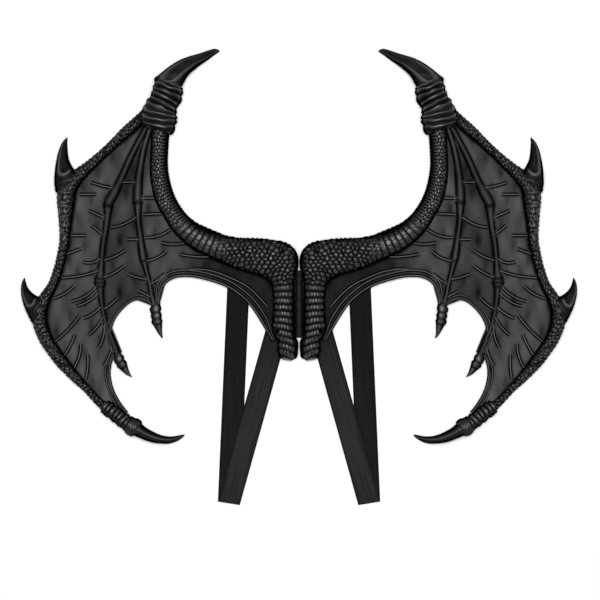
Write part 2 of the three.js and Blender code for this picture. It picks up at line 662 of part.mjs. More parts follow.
// Hinge panel: a tongue under both bodies with a soft domed strip on it, lower at both ends
const hingeEndTall = 0.8;
const hingeEndLong = 0.25;
function hingeOf(gap = 0) {
  const ribAt = (y, wide, tall, back) => ({
    a: new THREE.Vector2(-wide / 2 - gap, y),
    b: new THREE.Vector2(wide / 2 + gap, y),
    tall,
    back,
  });
  const tongueRib = (y) => ribAt(y, tongueWide, tongueThick + 2 * gap, -gap);
  const tongue = [tongueRib(tongueTop + gap), tongueRib(tongueFoot - gap)];
  const endTall = hingeEndTall * hingeTall + gap;
  const strip = [
    ribAt(hingeTop + gap, hingeWide, endTall, 0),
    ribAt(hingeTop * (1 - hingeEndLong), hingeWide, hingeTall + gap, 0),
    ribAt(hingeFoot * (1 - hingeEndLong), hingeWide, hingeTall + gap, 0),
    ribAt(hingeFoot - gap, hingeWide, endTall, 0),
  ];
  return loft(tongue, bandSection).add(loft(strip, limbSection));
}

function geometryOf(solid) {
  const mesh = solid.getMesh();
  const positions = new Float32Array(mesh.numVert * 3);
  for (let i = 0; i < mesh.numVert; i += 1) {
    const from = i * mesh.numProp;
    positions.set(mesh.vertProperties.subarray(from, from + 3), i * 3);
  }
  const geometry = new THREE.BufferGeometry();
  geometry.setAttribute("position", new THREE.BufferAttribute(positions, 3));
  geometry.setIndex(new THREE.BufferAttribute(mesh.triVerts, 1));
  geometry.computeVertexNormals();
  return geometry;
}

function piece(name, solid, finish) {
  const mesh = new THREE.Mesh(geometryOf(solid), new THREE.MeshStandardMaterial(finish));
  mesh.name = name;
  return mesh;
}

function middleLine(ribs) {
  return ribs.map((rib) => rib.a.clone().add(rib.b).multiplyScalar(0.5));
}

// One wing: each piece is cut clear of those it is set into
function wingOf(side) {
  const armLoft = ribsBetween(side, armRibs, armTall, 0, steps.arm);
  const rimLoft = ribsAlong(side, rimPath, rimWide, rimTall, 0, steps.rim);
  const cuffLoft = ribsAlong(side, cuffPath, cuffWide, cuffTall, 0);
  const collarLoft = ribsAlong(side, collarPath, collarWide, collarTall, 0);
  const longLoft = ribsAlong(side, longBonePath, boneWide, boneTall, boneBack, steps.longBone);
  const shortLoft = ribsAlong(side, shortBonePath, boneWide, boneTall, boneBack, steps.shortBone);
  const longClawLoft = ribsAlong(side, longClawPath, boneClawWide, boneClawTall, clawBack);
  const shortClawLoft = ribsAlong(side, shortClawPath, boneClawWide, boneClawTall, clawBack);

  const armRoom = loft(grown(armLoft), limbSection);
  const rimRoom = loft(grown(rimLoft), limbSection);
  const cuffRoom = loft(grown(cuffLoft), limbSection);
  const wristRoom = [cuffRoom, armRoom, rimRoom];
  const collarRoom = loft(grown(collarLoft), limbSection);
  const longRoom = loft(grown(longLoft), boneSection);
  const longClawRoom = loft(grown(longClawLoft), clawSection);
  const shortClawRoom = loft(grown(shortClawLoft), clawSection);
  const bones = [longLoft, shortLoft, longClawLoft, shortClawLoft];
  const aroundWeb = [armLoft, rimLoft, cuffLoft, collarLoft, ...bones];
  const limbs = aroundWeb.map((ribs) => loft(grown(ribs), bandSection));

  const claw = (table, tall, count) => loft(ribsBetween(side, table, tall, 0, count), clawSection);
  const arm = loft(ringed(armLoft), limbSection);
  const thumb = claw(thumbRibs, thumbTall, steps.thumb);
  const upperSpur = claw(upperSpurRibs, spurTall, steps.spur);
  const lowerSpur = claw(lowerSpurRibs, spurTall, steps.spur);
  const tipClaw = claw(tipClawRibs, tipClawTall, steps.tipClaw);
  const armLine = middleLine(armLoft.slice(0, lastMembraneRib));
  const membrane = membraneOf(side, armLine, middleLine(rimLoft), limbs);

  const solids = {
    arm: [cut(arm, strapOf(side, clear), hingeOf(clear)), black],
    leading_rim: [loft(rimLoft, limbSection), black],
    wrist_cuff: [cut(loft(cuffLoft, limbSection), armRoom, rimRoom), black],
    thumb_claw: [cut(thumb, cuffRoom), black],
    upper_spur: [cut(upperSpur, rimRoom), black],
    lower_spur: [cut(lowerSpur, rimRoom), black],
    tip_collar: [cut(loft(collarLoft, limbSection), rimRoom), black],
    tip_claw: [cut(tipClaw, collarRoom), black],
    long_finger: [cut(loft(longLoft, boneSection), ...wristRoom, longClawRoom), black],
    short_finger: [cut(loft(shortLoft, boneSection), ...wristRoom, longRoom, shortClawRoom), black],
    long_finger_claw: [loft(longClawLoft, clawSection), black],
    short_finger_claw: [loft(shortClawLoft, clawSection), black],
    membrane: [membrane, charcoal],
    strap: [strapOf(side), webbing],
  };
  const wing = new THREE.Group();
  const prefix = side < 0 ? "left_" : "right_";
  for (const [name, [solid, finish]] of Object.entries(solids)) {
    wing.add(piece(prefix + name, solid, finish));
  }
  return wing;
}

const wings = new THREE.Group();
wings.add(piece("hinge_panel", hingeOf(), webbing));
wings.add(wingOf(-1));
wings.add(wingOf(1));

export default wings;
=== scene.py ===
# %% [markdown]
# A pair of dragon wings to wear, cast in black foam and lying on a white table.
#
# The engineering model gives every part its place and its main form. This lesson puts a fine
# skin on each part: scales, wrinkles, veins and beads that are real raised shapes. Every skin is
# a grid of points worked out by one formula for the whole piece at once, so a change to a
# number in a table moves the whole shape.

# %% Load the engineering model
import math

import bpy
import numpy as np
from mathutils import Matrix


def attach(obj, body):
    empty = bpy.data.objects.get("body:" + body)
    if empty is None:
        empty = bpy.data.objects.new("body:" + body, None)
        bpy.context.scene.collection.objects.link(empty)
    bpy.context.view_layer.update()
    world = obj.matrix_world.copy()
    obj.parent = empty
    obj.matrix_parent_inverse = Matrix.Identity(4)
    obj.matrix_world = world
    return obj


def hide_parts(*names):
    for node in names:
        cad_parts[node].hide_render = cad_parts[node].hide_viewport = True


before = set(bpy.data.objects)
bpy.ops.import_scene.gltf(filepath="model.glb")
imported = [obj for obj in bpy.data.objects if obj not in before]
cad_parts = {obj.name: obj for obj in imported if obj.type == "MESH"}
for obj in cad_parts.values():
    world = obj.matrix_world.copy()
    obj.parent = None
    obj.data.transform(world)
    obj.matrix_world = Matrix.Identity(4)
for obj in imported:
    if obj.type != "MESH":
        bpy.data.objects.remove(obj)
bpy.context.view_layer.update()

# %% [markdown]
# All places are shares of two driving sizes: half the span from tip to tip, and the rise
# of the foam part. A table in shares can be read against a drawing of the wings, and the two
# wings use the same tables with the sign of the side changed.

# %% Driving sizes and the two sides
SPAN = 0.800
RISE = 0.567
MM = 0.001
SIDES = {"left": -1, "right": 1}


def place(side, shares):
    """Shares of half the span and of the rise, turned into metres across and up."""
    return np.column_stack([side * shares[:, 0] * SPAN / 2, shares[:, 1] * RISE])


# %% [markdown]
# A limb bends gently, so a few rows are joined by a curve. A centripetal Catmull-Rom
# curve goes through every point and makes no loops where points are close together, which
# a plain cubic would do.

# %% Smooth curves through the rows of a table
FINE = 24


def smooth(points):
    """Centripetal Catmull-Rom curve: between two points a cubic leaves and arrives along
    tangents that weigh each neighbour by the square root of its distance."""
    points = np.asarray(points, float)
    ahead = np.vstack([points[2:], 2 * points[-1] - points[-2]])
    behind = np.vstack([2 * points[0] - points[1], points[:-2]])
    start, stop = points[:-1], points[1:]
    gap0, gap1, gap2 = (
        np.sqrt(np.linalg.norm(b - a, axis=1, keepdims=True)) + 1e-9
        for a, b in ((behind, start), (start, stop), (stop, ahead))
    )
    step = (stop - start) / gap1
    leave = ((start - behind) / gap0 - (stop - behind) / (gap0 + gap1) + step) * gap1
    arrive = (step - (ahead - start) / (gap1 + gap2) + (ahead - stop) / gap2) * gap1
    w = (np.arange(FINE) / FINE)[None, :, None]
    start, stop, leave, arrive = (v[:, None] for v in (start, stop, leave, arrive))
    bend = 3 * (stop - start) - 2 * leave - arrive
    twist = 2 * (start - stop) + leave + arrive
    curve = start + leave * w + bend * w**2 + twist * w**3
    return np.vstack([curve.reshape(-1, points.shape[1]), points[-1:]])


def distance_along(line):
    """Running length of a line of points."""
    return np.append(0, np.cumsum(np.linalg.norm(np.diff(line, axis=0), axis=1)))


def fade(x, start, end):
    """Smooth step from 0 at start to 1 at end: three times the square less twice the cube."""
    w = np.clip((x - start) / (end - start), 0, 1)
    return w * w * (3 - 2 * w)


# %% [markdown]
# Every limb is a row of ribs. A rib is a straight line across the limb with a height. The
# ribs are spaced evenly, so that scales keep their size along the whole limb, and each one
# remembers which row of its table it came from, so that the pattern can change at a landmark.

# %% Ribs
def spaced(near, far, tall, count):
    """The same ribs at equal steps of the middle line."""
    row = np.linspace(0, 1, len(near)) * (len(near) - 1) / FINE
    along = distance_along((near + far) / 2)
    even = np.linspace(0, along[-1], count)
    table = np.column_stack([near, far, tall, row])
    near_x, near_y, far_x, far_y, tall, row = (np.interp(even, along, v) for v in table.T)
    return {
        "near": np.column_stack([near_x, near_y]),
        "far": np.column_stack([far_x, far_y]),
        "tall": tall,
        "row": row,
        "along": even,
    }


def ribs_between(side, table, tall, count):
    """Ribs from one edge of a limb to the other. Columns: out, up, to out, to up, tall."""
    near = smooth(np.column_stack([place(side, table[:, :2]), table[:, 4] * tall]))
    far = smooth(np.column_stack([place(side, table[:, 2:4]), 0 * table[:, 4]]))
    return spaced(near[:, :2], far[:, :2], near[:, 2], count)


def sideways(side, line):
    """Unit vectors square to a line in plan: towards the membrane on a rim or a bay."""
    heading = np.gradient(line, axis=-2)
    across = np.stack([-heading[..., 1], heading[..., 0]], -1)
    return -side * across / np.linalg.norm(across, axis=-1, keepdims=True)


def ribs_along(side, table, wide, tall, count):
    """Ribs square to a middle line. Columns: out, up, wide, tall."""
    line = smooth(np.column_stack([place(side, table[:, :2]), table[:, 2] * wide]))
    order = np.arange(len(table)) * MM
    heights = smooth(np.column_stack([order, 0 * order, table[:, 3] * tall]))[:, 2]
    middle, half = line[:, :2], line[:, 2:] / 2
    across = sideways(side, middle)
    return spaced(middle + across * half, middle - across * half, heights, count)


# %% [markdown]
# The foam is cast in an open mould, so each limb is a dome over a flat back. The section
# could be a half circle, but the real limbs are fuller: a sine raised to a power below one
# gives steep flanks and a broad top. A quarter round joins each flank to the back.

# %% Section outline of a limb
FULLNESS = 0.8
FOOT_STEPS = 4
BACK_STEPS = 5
# how far the flank runs in, and how high it starts, as shares of the width and the height
LIMB_EDGE, CLAW_EDGE, TONGUE_EDGE = (0.1, 0.24), (0.22, 0.36), (0.01, 0.5)


def section(front, inset, shoulder, aspect):
    """Outline across a rib: the sine of half a turn raised to the fullness, spread evenly over
    a limb that is aspect times as tall as wide, then a quarter round and the flat back."""
    angle = np.linspace(0, np.pi, 600)
    across = 0.5 - 0.5 * np.cos(angle)
    height = shoulder + (1 - shoulder) * np.sin(angle) ** FULLNESS
    length = distance_along(np.column_stack([across, height * aspect]))
    even = np.linspace(0, length[-1], front)
    across, height = np.interp(even, length, across), np.interp(even, length, height)
    turn = np.linspace(0, np.pi / 2, FOOT_STEPS + 1)[1:]
    foot_in = inset * (1 - np.cos(turn))
    foot_up = shoulder * (1 - np.sin(turn))
    back = np.linspace(1 - inset, inset, BACK_STEPS + 1)[1:-1]
    return {
        "across": np.concatenate([across, 1 - foot_in, back, foot_in[::-1]]),
        "height": np.concatenate([height, foot_up, 0 * back, foot_up[::-1]]),
        "front": front,
    }


def cover(ribs, back, outline):
    """Lays the outline across every rib and raises it by the rib's height."""
    near, far = ribs["near"][:, None], ribs["far"][:, None]
    foot = near + (far - near) * outline["across"][None, :, None]
    return np.dstack([foot, back + ribs["tall"][:, None] * outline["height"]])


# %% [markdown]
# A skin becomes a mesh when its points are joined by four-sided faces. The grid closes on
# itself round the limb, and a fan of triangles closes each end, so every piece is one closed
# body. If its volume comes out negative the faces point inwards and are all turned round.

# %% From a grid of points to a mesh
def closed_skin(grid, painted_light_and_tone):
    """Points, quads and fan triangles of a tube of rings, with the painted light and tone of
    each point.
    """
    rows, ring = grid.shape[:2]
    number = np.arange(rows * ring).reshape(rows, ring)
    beside = np.roll(number, -1, axis=1)
    quads = np.stack([number[:-1], beside[:-1], beside[1:], number[1:]], -1).reshape(-1, 4)
    first, last = rows * ring, rows * ring + 1
    start_fan = np.column_stack([beside[0], number[0], np.full(ring, first)])
    end_fan = np.column_stack([number[-1], beside[-1], np.full(ring, last)])
    points = np.vstack([grid.reshape(-1, 3), grid[0].mean(0), grid[-1].mean(0)])
    shade = np.concatenate([painted_light_and_tone.ravel(), [painted_light_and_tone[0].mean(), painted_light_and_tone[-1].mean()]])
    corners = points[quads]
    tilt = np.cross(corners[:, 2] - corners[:, 0], corners[:, 3] - corners[:, 1])
    if (corners.mean(1) * tilt).sum() < 0:
        quads, start_fan, end_fan = quads[:, ::-1], start_fan[:, ::-1], end_fan[:, ::-1]
    return points, quads, np.vstack([start_fan, end_fan]), shade


def mesh_of(name, skins):
    """One mesh from several closed skins, with the painted light and tone kept as a point
    attribute.
    """
    starts = np.append(0, np.cumsum([len(s[0]) for s in skins]))
    points = np.vstack([s[0] for s in skins])
    quads = np.vstack([s[1] + n for s, n in zip(skins, starts)])
    fans = np.vstack([s[2] + n for s, n in zip(skins, starts)])
    sizes = np.concatenate([np.full(len(quads), 4), np.full(len(fans), 3)])
    mesh = bpy.data.meshes.new(name)
    mesh.vertices.add(len(points))
    mesh.vertices.foreach_set("co", points.ravel())
    mesh.loops.add(int(sizes.sum()))
    mesh.loops.foreach_set("vertex_index", np.concatenate([quads.ravel(), fans.ravel()]))
    mesh.polygons.add(len(sizes))
    mesh.polygons.foreach_set("loop_start", np.cumsum(sizes) - sizes)
    mesh.polygons.foreach_set("use_smooth", np.ones(len(sizes), bool))
    mesh.update(calc_edges=True)
    # the attribute carries the painted light and shade of each point, and the tone of the foam
    mesh.attributes.new("painted_light_and_tone", "FLOAT", "POINT")
    mesh.attributes["painted_light_and_tone"].data.foreach_set("value", np.concatenate([s[3] for s in skins]))
    return mesh


# %% [markdown]
# A piece of the scene rides on the body of the engineering model and stands for one or more of
# its nodes.

# %% Put a piece into the scene
triangle_count = {}


def add_piece(name, skins, material, slot, *nodes):
    """Links the mesh as an object at the origin and ties it to the engineering model."""
    mesh = mesh_of(name, skins)
    mesh.materials.append(material)
    piece = bpy.data.objects.new(name, mesh)
    bpy.context.scene.collection.objects.link(piece)
    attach(piece, "root")
    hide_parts(*nodes)
    triangle_count[name] = 2 * len(mesh.polygons)
    print(name, "has about", triangle_count[name], "triangles")
    return piece


# %% [markdown]
# Scales are cast into the foam. They could be an image or a bump in the material, but
# they break up the outline of the real limbs, so they are raised from the skin. Each scale
# belongs to a point of a brick lattice that is moved a little by chance. A place on the skin
# is high when its nearest lattice point is much nearer than the next one, so the grooves run
# half way between neighbours.

# %% Scales, rings and folds
CHANCE = np.random.default_rng(11).random((64, 64, 3))


def scales(along, across, long, wide, jitter=0.4, groove=0.55):
    """0 in the grooves and 1 on the scales: the gap between the distances to the nearest and
    the second nearest lattice point, rounded over, and a little different for each scale."""
    u, v = along / long, across / wide
    nearest = np.full(u.shape, 9.0)
    second = np.full(u.shape, 9.0)
    chance = np.zeros(u.shape)
    for du in (-1, 0, 1):
        row = np.floor(u) + du
        shifted = v - 0.5 * (row % 2)
        for dv in (-1, 0, 1):
            column = np.floor(shifted) + dv
            luck = CHANCE[row.astype(int) % 64, column.astype(int) % 64]
            to_u = row + 0.5 + jitter * (luck[..., 0] - 0.5) - u
            to_v = column + 0.5 + jitter * (luck[..., 1] - 0.5) - shifted
            far = np.hypot(to_u, to_v)
            closer = far < nearest
            second = np.where(closer, nearest, np.minimum(second, far))
            chance = np.where(closer, luck[..., 2], chance)
            nearest = np.where(closer, far, nearest)
    edge = np.clip((second - nearest) / groove, 0, 1)
    return (1 - (1 - edge) ** 2.2) * (0.75 + 0.25 * chance)


def rolls(phase, sharp=2.5):
    """Row of round rolls, one for each whole number: 1 on top and 0 in the crease."""
    middle = np.abs(2 * (phase - np.floor(phase)) - 1)
    return 1 - middle**sharp


def drift(x, y, size, seed=0):
    """Slow wandering between -1 and 1: the mean of three waves in different directions."""
    turns = seed + np.array([0.3, 1.7, 2.9])
    total = sum(
        np.sin((x * np.cos(a) + y * np.sin(a)) * 2 * np.pi / size * (1 + 0.3 * k) + 5 * a)
        for k, a in enumerate(turns)
    )
    return total / 3


# %% [markdown]
# To raise a pattern, every point moves outwards along the skin's normal, which is the cross
# product of the directions along and round the limb. The pattern works in metres on the
# skin, so the distance across is measured on the grid itself. The flat back stays flat, and
# painted shade turns the steep flanks black.

# %% Raise a pattern from a skin
# widths of the painted shade that turns the near and the far flank black, the largest share of a
# limb's width that it may take, and the share of it that is wholly black
SHADED_FLANKS = (4.5 * MM, 4.5 * MM)
WIDEST_FLANK = 0.3
FULL_SHADE_SHARE = 0.4


def raised(ribs, back, outline, pattern, flanks=SHADED_FLANKS):
    """Cover of the ribs, moved along its normals by pattern(skin) in metres. The pattern
    gives a height and a shade, and painted shade turns the near and the far flank black."""
    grid = cover(ribs, back, outline)
    front = outline["front"]
    ring = grid.shape[1]
    step = np.linalg.norm(np.diff(grid[:, :front], axis=1), axis=2)
    across = np.zeros(grid.shape[:2])
    across[:, 1:front] = np.cumsum(step, axis=1)
    across[:, front:] = across[:, front - 1 : front]
    share = across / across[:, front - 1 : front]
    across = across - across[:, front - 1 : front] / 2
    skin = {
        "along": np.repeat(ribs["along"][:, None], ring, 1),
        "row": np.repeat(ribs["row"][:, None], ring, 1),
        "across": across,
        "share": share,
        "x": grid[..., 0],
        "y": grid[..., 1],
    }
    height, shade = pattern(skin)
    wide = np.linalg.norm(ribs["far"] - ribs["near"], axis=1)[:, None]
    for inside, flank in zip((outline["across"], 1 - outline["across"]), flanks):
        flank = np.minimum(flank, WIDEST_FLANK * wide)
        shade = shade * fade(inside * wide, FULL_SHADE_SHARE * flank, flank)
    mask = np.zeros(ring)
    mask[:front] = 1
    round_limb = np.roll(grid, -1, 1) - np.roll(grid, 1, 1)
    normal = np.cross(round_limb, np.gradient(grid, axis=0))
    normal /= np.linalg.norm(normal, axis=2, keepdims=True) + 1e-12
    normal *= np.sign(normal[:, front // 2, 2].sum())
    grid = grid + normal * (height * mask)[..., None]
    return closed_skin(grid, shade * mask)


# %% [markdown]
# The thick arm runs from the wrist round the elbow and down beside the spine. Above the
# bend it has small scales outside and fine rings inside, at the bend broad bands, then round
# pebbles up to the elbow, and down the body heavy ribs that are split into scales.

# %% Arm table
ARM_TALL = 0.034
ARM_RIBS = np.array([
    # out, up, to out, to up, tall
    [0.529, 0.426, 0.463, 0.426, 0.60],
    [0.533, 0.359, 0.470, 0.359, 0.58],
    [0.536, 0.320, 0.471, 0.320, 0.58],
    [0.533, 0.282, 0.466, 0.291, 0.60],
    [0.522, 0.242, 0.456, 0.262, 0.62],
    [0.506, 0.213, 0.442, 0.237, 0.64],
    [0.481, 0.184, 0.421, 0.212, 0.67],
    [0.457, 0.157, 0.396, 0.191, 0.70],
    [0.424, 0.133, 0.365, 0.174, 0.73],
    [0.381, 0.109, 0.335, 0.164, 0.76],
    [0.331, 0.091, 0.295, 0.152, 0.80],
    [0.266, 0.071, 0.250, 0.141, 0.86],
    [0.205, 0.053, 0.187, 0.137, 0.94],
    [0.162, 0.046, 0.124, 0.135, 1.00],
    [0.129, 0.037, 0.065, 0.129, 1.00],
    [0.108, 0.027, 0.025, 0.116, 1.00],
    [0.097, 0.013, 0.0045, 0.096, 1.00],
    [0.094, -0.005, 0.0022, 0.061, 0.98],
    [0.092, -0.020, 0.014, 0.038, 0.96],
    [0.093, -0.051, 0.014, -0.041, 0.92],
    [0.097, -0.084, 0.014, -0.086, 0.87],
    [0.094, -0.105, 0.012, -0.112, 0.82],
    [0.077, -0.119, 0.003, -0.124, 0.76],
    [0.077, -0.145, 0.003, -0.151, 0.68],
    [0.070, -0.164, 0.007, -0.166, 0.50],
    [0.053, -0.170, 0.027, -0.173, 0.25],
])

# %% [markdown]
# On the real arm the patterns run into each other. They could be cut off at a line, but a
# weight that fades over a row or two of the table gives the same soft change as the mould.

# %% Arm pattern
# widths of the painted shade on the arm's near and far flank
ARM_SHADED_FLANKS = (5.5 * MM, 7.5 * MM)
# length along the limb, width across it if it has one, and height
FORE_SCALE = (5.2 * MM, 4.8 * MM, 1.3 * MM)
FORE_RING = (4.7 * MM, 0.9 * MM)
BAND = (8.6 * MM, 1.5 * MM)
PEBBLE = (5.9 * MM, 7.6 * MM, 2.3 * MM)
BODY_RIB = (7.8 * MM, 5.0 * MM, 2.3 * MM)
# rows of the table where a pattern starts and is complete
BANDS_FROM, PEBBLES_FROM, ELBOW_ROWS, HINGE_ROWS = (6.5, 8), (9.8, 11.5), (14, 16), (14, 15)
# shares of the way across, and places in metres
RINGS_ACROSS, LIT_ACROSS, INNER_SHADE_ACROSS = (0.5, 0.62), (0.14, 0.3, 0.74, 0.55), (0.68, 0.86)
BODY_UNDER = (18 * MM, 2 * MM)
BESIDE_HINGE = (11 * MM, 4 * MM)
# the ribs of the body fan out: they grow by this share over this reach, from the place
# where they have their even width towards the middle of the wings
BODY_MIDDLE, FAN_SHARE, FAN_EVEN, FAN_REACH = -8 * MM, 0.25, 55 * MM, 45 * MM
RIVET = (0.0317, -0.0561)
RIVET_WIDE, RIVET_DEEP = 3.2 * MM, 1.5 * MM
# how bright the painted highlight on the tops of the bands is, against the other patterns
BAND_SHADE = 0.76


def arm_pattern(skin):
    """Four patterns, each fading into the next at a row of the arm's table, and one dent
    where the strap is riveted through the body. The pebbles and ribs lie in level rows, so
    they are worked out on the place and not on the way along the bent limb."""
    along, across, row, share = (skin[k] for k in ("along", "across", "row", "share"))
    x, y = np.abs(skin["x"]), skin["y"]
    small = scales(along, across, *FORE_SCALE[:2], jitter=0.7)
    rings = rolls(along / FORE_RING[0], sharp=2)
    inner = fade(share, *RINGS_ACROSS)
    fore = small * (1 - inner) + rings * inner
    fore_tall = FORE_SCALE[2] * (1 - inner) + FORE_RING[1] * inner
    plates = scales(along, across, BAND[0], 1.3 * BAND[0], jitter=0.3, groove=0.4)
    bands = 0.6 * rolls(along / BAND[0], sharp=4) + 0.4 * plates
    pebbles = scales(y + 0.06 * x, x, *PEBBLE[:2], jitter=0.65, groove=0.8)
    fan = 1 + FAN_SHARE * (FAN_EVEN - x) / FAN_REACH
    level = (y - BODY_MIDDLE) / fan
    split = scales(level, x, *BODY_RIB[:2], jitter=0.25, groove=0.7)
    ribs = 0.5 * rolls(level / BODY_RIB[0], sharp=2.2) + 0.5 * split
    to_bands, to_pebbles = fade(row, *BANDS_FROM), fade(row, *PEBBLES_FROM)
    to_ribs = fade(y, *BODY_UNDER) * fade(row, *ELBOW_ROWS)
    parts = [
        (fore, fore_tall, 1 - to_bands),
        (bands, BAND[1], to_bands * (1 - to_pebbles)),
        (pebbles, PEBBLE[2], to_pebbles * (1 - to_ribs)),
        (ribs, BODY_RIB[2], to_pebbles * to_ribs),
    ]
    height = sum((pattern - 0.5) * tall * weight for pattern, tall, weight in parts)
    # painted shade and highlight: every pattern is black in its grooves and light on its tops
    shade = sum(pattern**2.4 * weight for pattern, tall, weight in parts)
    on_bands = to_bands * (1 - to_pebbles)
    # painted light: the bands are lit across their middle and shaded towards both sides
    lit_bands = fade(share, *LIT_ACROSS[:2]) * fade(share, *LIT_ACROSS[2:])
    shade = shade * (1 - on_bands * (1 - BAND_SHADE * lit_bands))
    beside_hinge = fade(x, *BESIDE_HINGE) * fade(row, *HINGE_ROWS)
    height = height * (1 - 0.8 * beside_hinge) - 0.5 * MM * beside_hinge
    # painted shade: darker over the inner side of the forearm and beside the hinge
    inner_shade = (0.45 * inner + 0.5 * fade(share, *INNER_SHADE_ACROSS)) * (1 - to_bands)
    shade = shade * (1 - inner_shade) * (1 - 0.7 * beside_hinge)
    rivet = np.hypot(x - RIVET[0], y - RIVET[1]) / RIVET_WIDE
    dent = fade(rivet, 1.25, 0.85)
    return height * (1 - dent) - RIVET_DEEP * dent, shade * (1 - dent)


# %% [markdown]
# The other limbs need only tables and simpler patterns. The leading rim is a scaly
# tube. The wrist cuff and the tip collar are soft knuckles: their folds fall across them at a
# slant, so the pattern's phase adds a share of the way across to the way along.

# %% Rim, cuff and collar tables
RIM_WIDE, RIM_TALL = 0.026, 0.021
RIM_PATH = np.array([
    # out, up, wide, tall
    [0.550, 0.449, 0.66, 0.80],
    [0.586, 0.426, 0.66, 0.75],
    [0.628, 0.400, 0.61, 0.72],
    [0.669, 0.372, 0.53, 0.70],
    [0.712, 0.344, 0.53, 0.70],
    [0.755, 0.316, 0.64, 0.74],
    [0.799, 0.289, 0.83, 0.85],
    [0.829, 0.261, 1.00, 1.00],
    [0.835, 0.234, 1.00, 0.95],
    [0.836, 0.203, 0.86, 0.85],
    [0.838, 0.168, 0.69, 0.78],
    [0.840, 0.132, 0.59, 0.72],
    [0.851, 0.091, 0.54, 0.70],
    [0.864, 0.056, 0.53, 0.70],
    [0.882, 0.020, 0.53, 0.72],
    [0.908, -0.013, 0.66, 0.82],
    [0.928, -0.043, 0.83, 0.92],
    [0.928, -0.076, 0.83, 0.92],
    [0.912, -0.112, 0.77, 0.85],
    [0.883, -0.146, 0.75, 0.80],
    [0.847, -0.179, 0.72, 0.76],
    [0.808, -0.211, 0.58, 0.70],
    [0.763, -0.244, 0.44, 0.62],
    [0.725, -0.273, 0.44, 0.60],
    [0.683, -0.298, 0.61, 0.62],
])
CUFF_WIDE, CUFF_TALL = 0.053, 0.031
CUFF_PATH = np.array([
    # out, up, wide, tall
    [0.509, 0.409, 0.73, 0.78],
    [0.506, 0.416, 0.92, 0.90],
    [0.505, 0.424, 0.90, 0.88],
    [0.504, 0.433, 1.00, 1.00],
    [0.503, 0.442, 0.94, 0.94],
    [0.500, 0.452, 0.98, 1.00],
    [0.496, 0.462, 0.87, 0.92],
    [0.491, 0.471, 0.87, 0.96],
    [0.485, 0.480, 0.77, 0.88],
    [0.480, 0.489, 0.83, 0.94],
    [0.476, 0.496, 0.86, 0.95],
    [0.473, 0.505, 0.80, 0.88],
    [0.470, 0.513, 0.83, 0.93],
    [0.467, 0.522, 0.77, 0.87],
    [0.463, 0.529, 0.76, 0.80],
])
COLLAR_WIDE, COLLAR_TALL = 0.027, 0.020
COLLAR_PATH = np.array([
    # out, up, wide, tall
    [0.700, -0.289, 0.69, 0.80],
    [0.677, -0.299, 0.82, 0.90],
    [0.665, -0.306, 0.73, 0.84],
    [0.654, -0.312, 0.82, 0.92],
    [0.643, -0.318, 0.74, 0.86],
    [0.633, -0.324, 0.80, 0.92],
    [0.620, -0.331, 0.74, 0.84],
    [0.609, -0.336, 0.90, 0.98],
    [0.599, -0.341, 1.00, 1.00],
    [0.586, -0.344, 0.98, 1.00],
    [0.576, -0.348, 0.75, 0.85],
])

# %% [markdown]
# Folds in soft foam wander and die out. A row of even rolls would look turned on a lathe, so
# slow waves shift the phase of each roll, and the folds grow calm towards the edges.

# %% Rim, cuff and collar patterns
# widths of the painted shade on the rim's near and far flank
RIM_SHADED_FLANKS = (5.0 * MM, 2.6 * MM)
RIM_SCALE = (5.4 * MM, 4.8 * MM, 1.3 * MM)
RIM_PLATE = 9.6 * MM
RIM_RING = (6.6 * MM, 0.9 * MM)
SCALE_SLANT = 0.45
CUFF_FOLD = (8.6 * MM, 1.9 * MM)
COLLAR_FOLD = (6.4 * MM, 1.5 * MM)
# rows of the tables where a zone starts and is complete
PLATES_FROM, PLATES_TO, WRIST_LEFT = (6.5, 7.5), (12, 10.5), (0.5, 1.6)
UPPER_FOLDS, BULGE_ROWS = (5.2, 6.8), (6.5, 7.3)
LEVEL_FALL, STRAIGHT_FALL = 7 * MM, 6.5 * MM
OUTER_HALF = (0.5, 0.66)
CREASE_DEEP = 0.35 * MM


def slanted_scales(along, across):
    """The small scales that the rim and the collar share, in rows at a slant."""
    slanted = along + SCALE_SLANT * across
    return scales(slanted, across, *RIM_SCALE[:2], jitter=0.8, groove=0.7)


def rim_pattern(skin):
    """Small scales in rings round the tube, larger plates on the outer half below the upper
    spur, and soft rolls where it leaves the wrist."""
    along, across, row = skin["along"], skin["across"], skin["row"]
    scale = slanted_scales(along, across)
    plate = scales(along, across, RIM_PLATE, RIM_PLATE, jitter=0.2, groove=0.4)
    on_plates = fade(row, *PLATES_FROM) * fade(row, *PLATES_TO)
    on_plates = on_plates * fade(skin["share"], 0.45, 0.55)
    scale = scale + (plate - scale) * on_plates
    ring = rolls(along / RIM_RING[0], sharp=2)
    from_wrist = fade(row, *WRIST_LEFT)
    height = (scale - 0.5) * RIM_SCALE[2] * from_wrist + (ring - 0.5) * RIM_RING[1]
    # painted light: the scales are black in their grooves, lighter on the tops of the rings,
    # brightest along the top of the tube, and darker where the rim leaves the wrist
    top = 0.5 + 0.5 * np.sin(np.pi * skin["share"])
    return height, scale**2.2 * (0.6 + 0.4 * ring) * (0.3 + 0.7 * from_wrist) * top


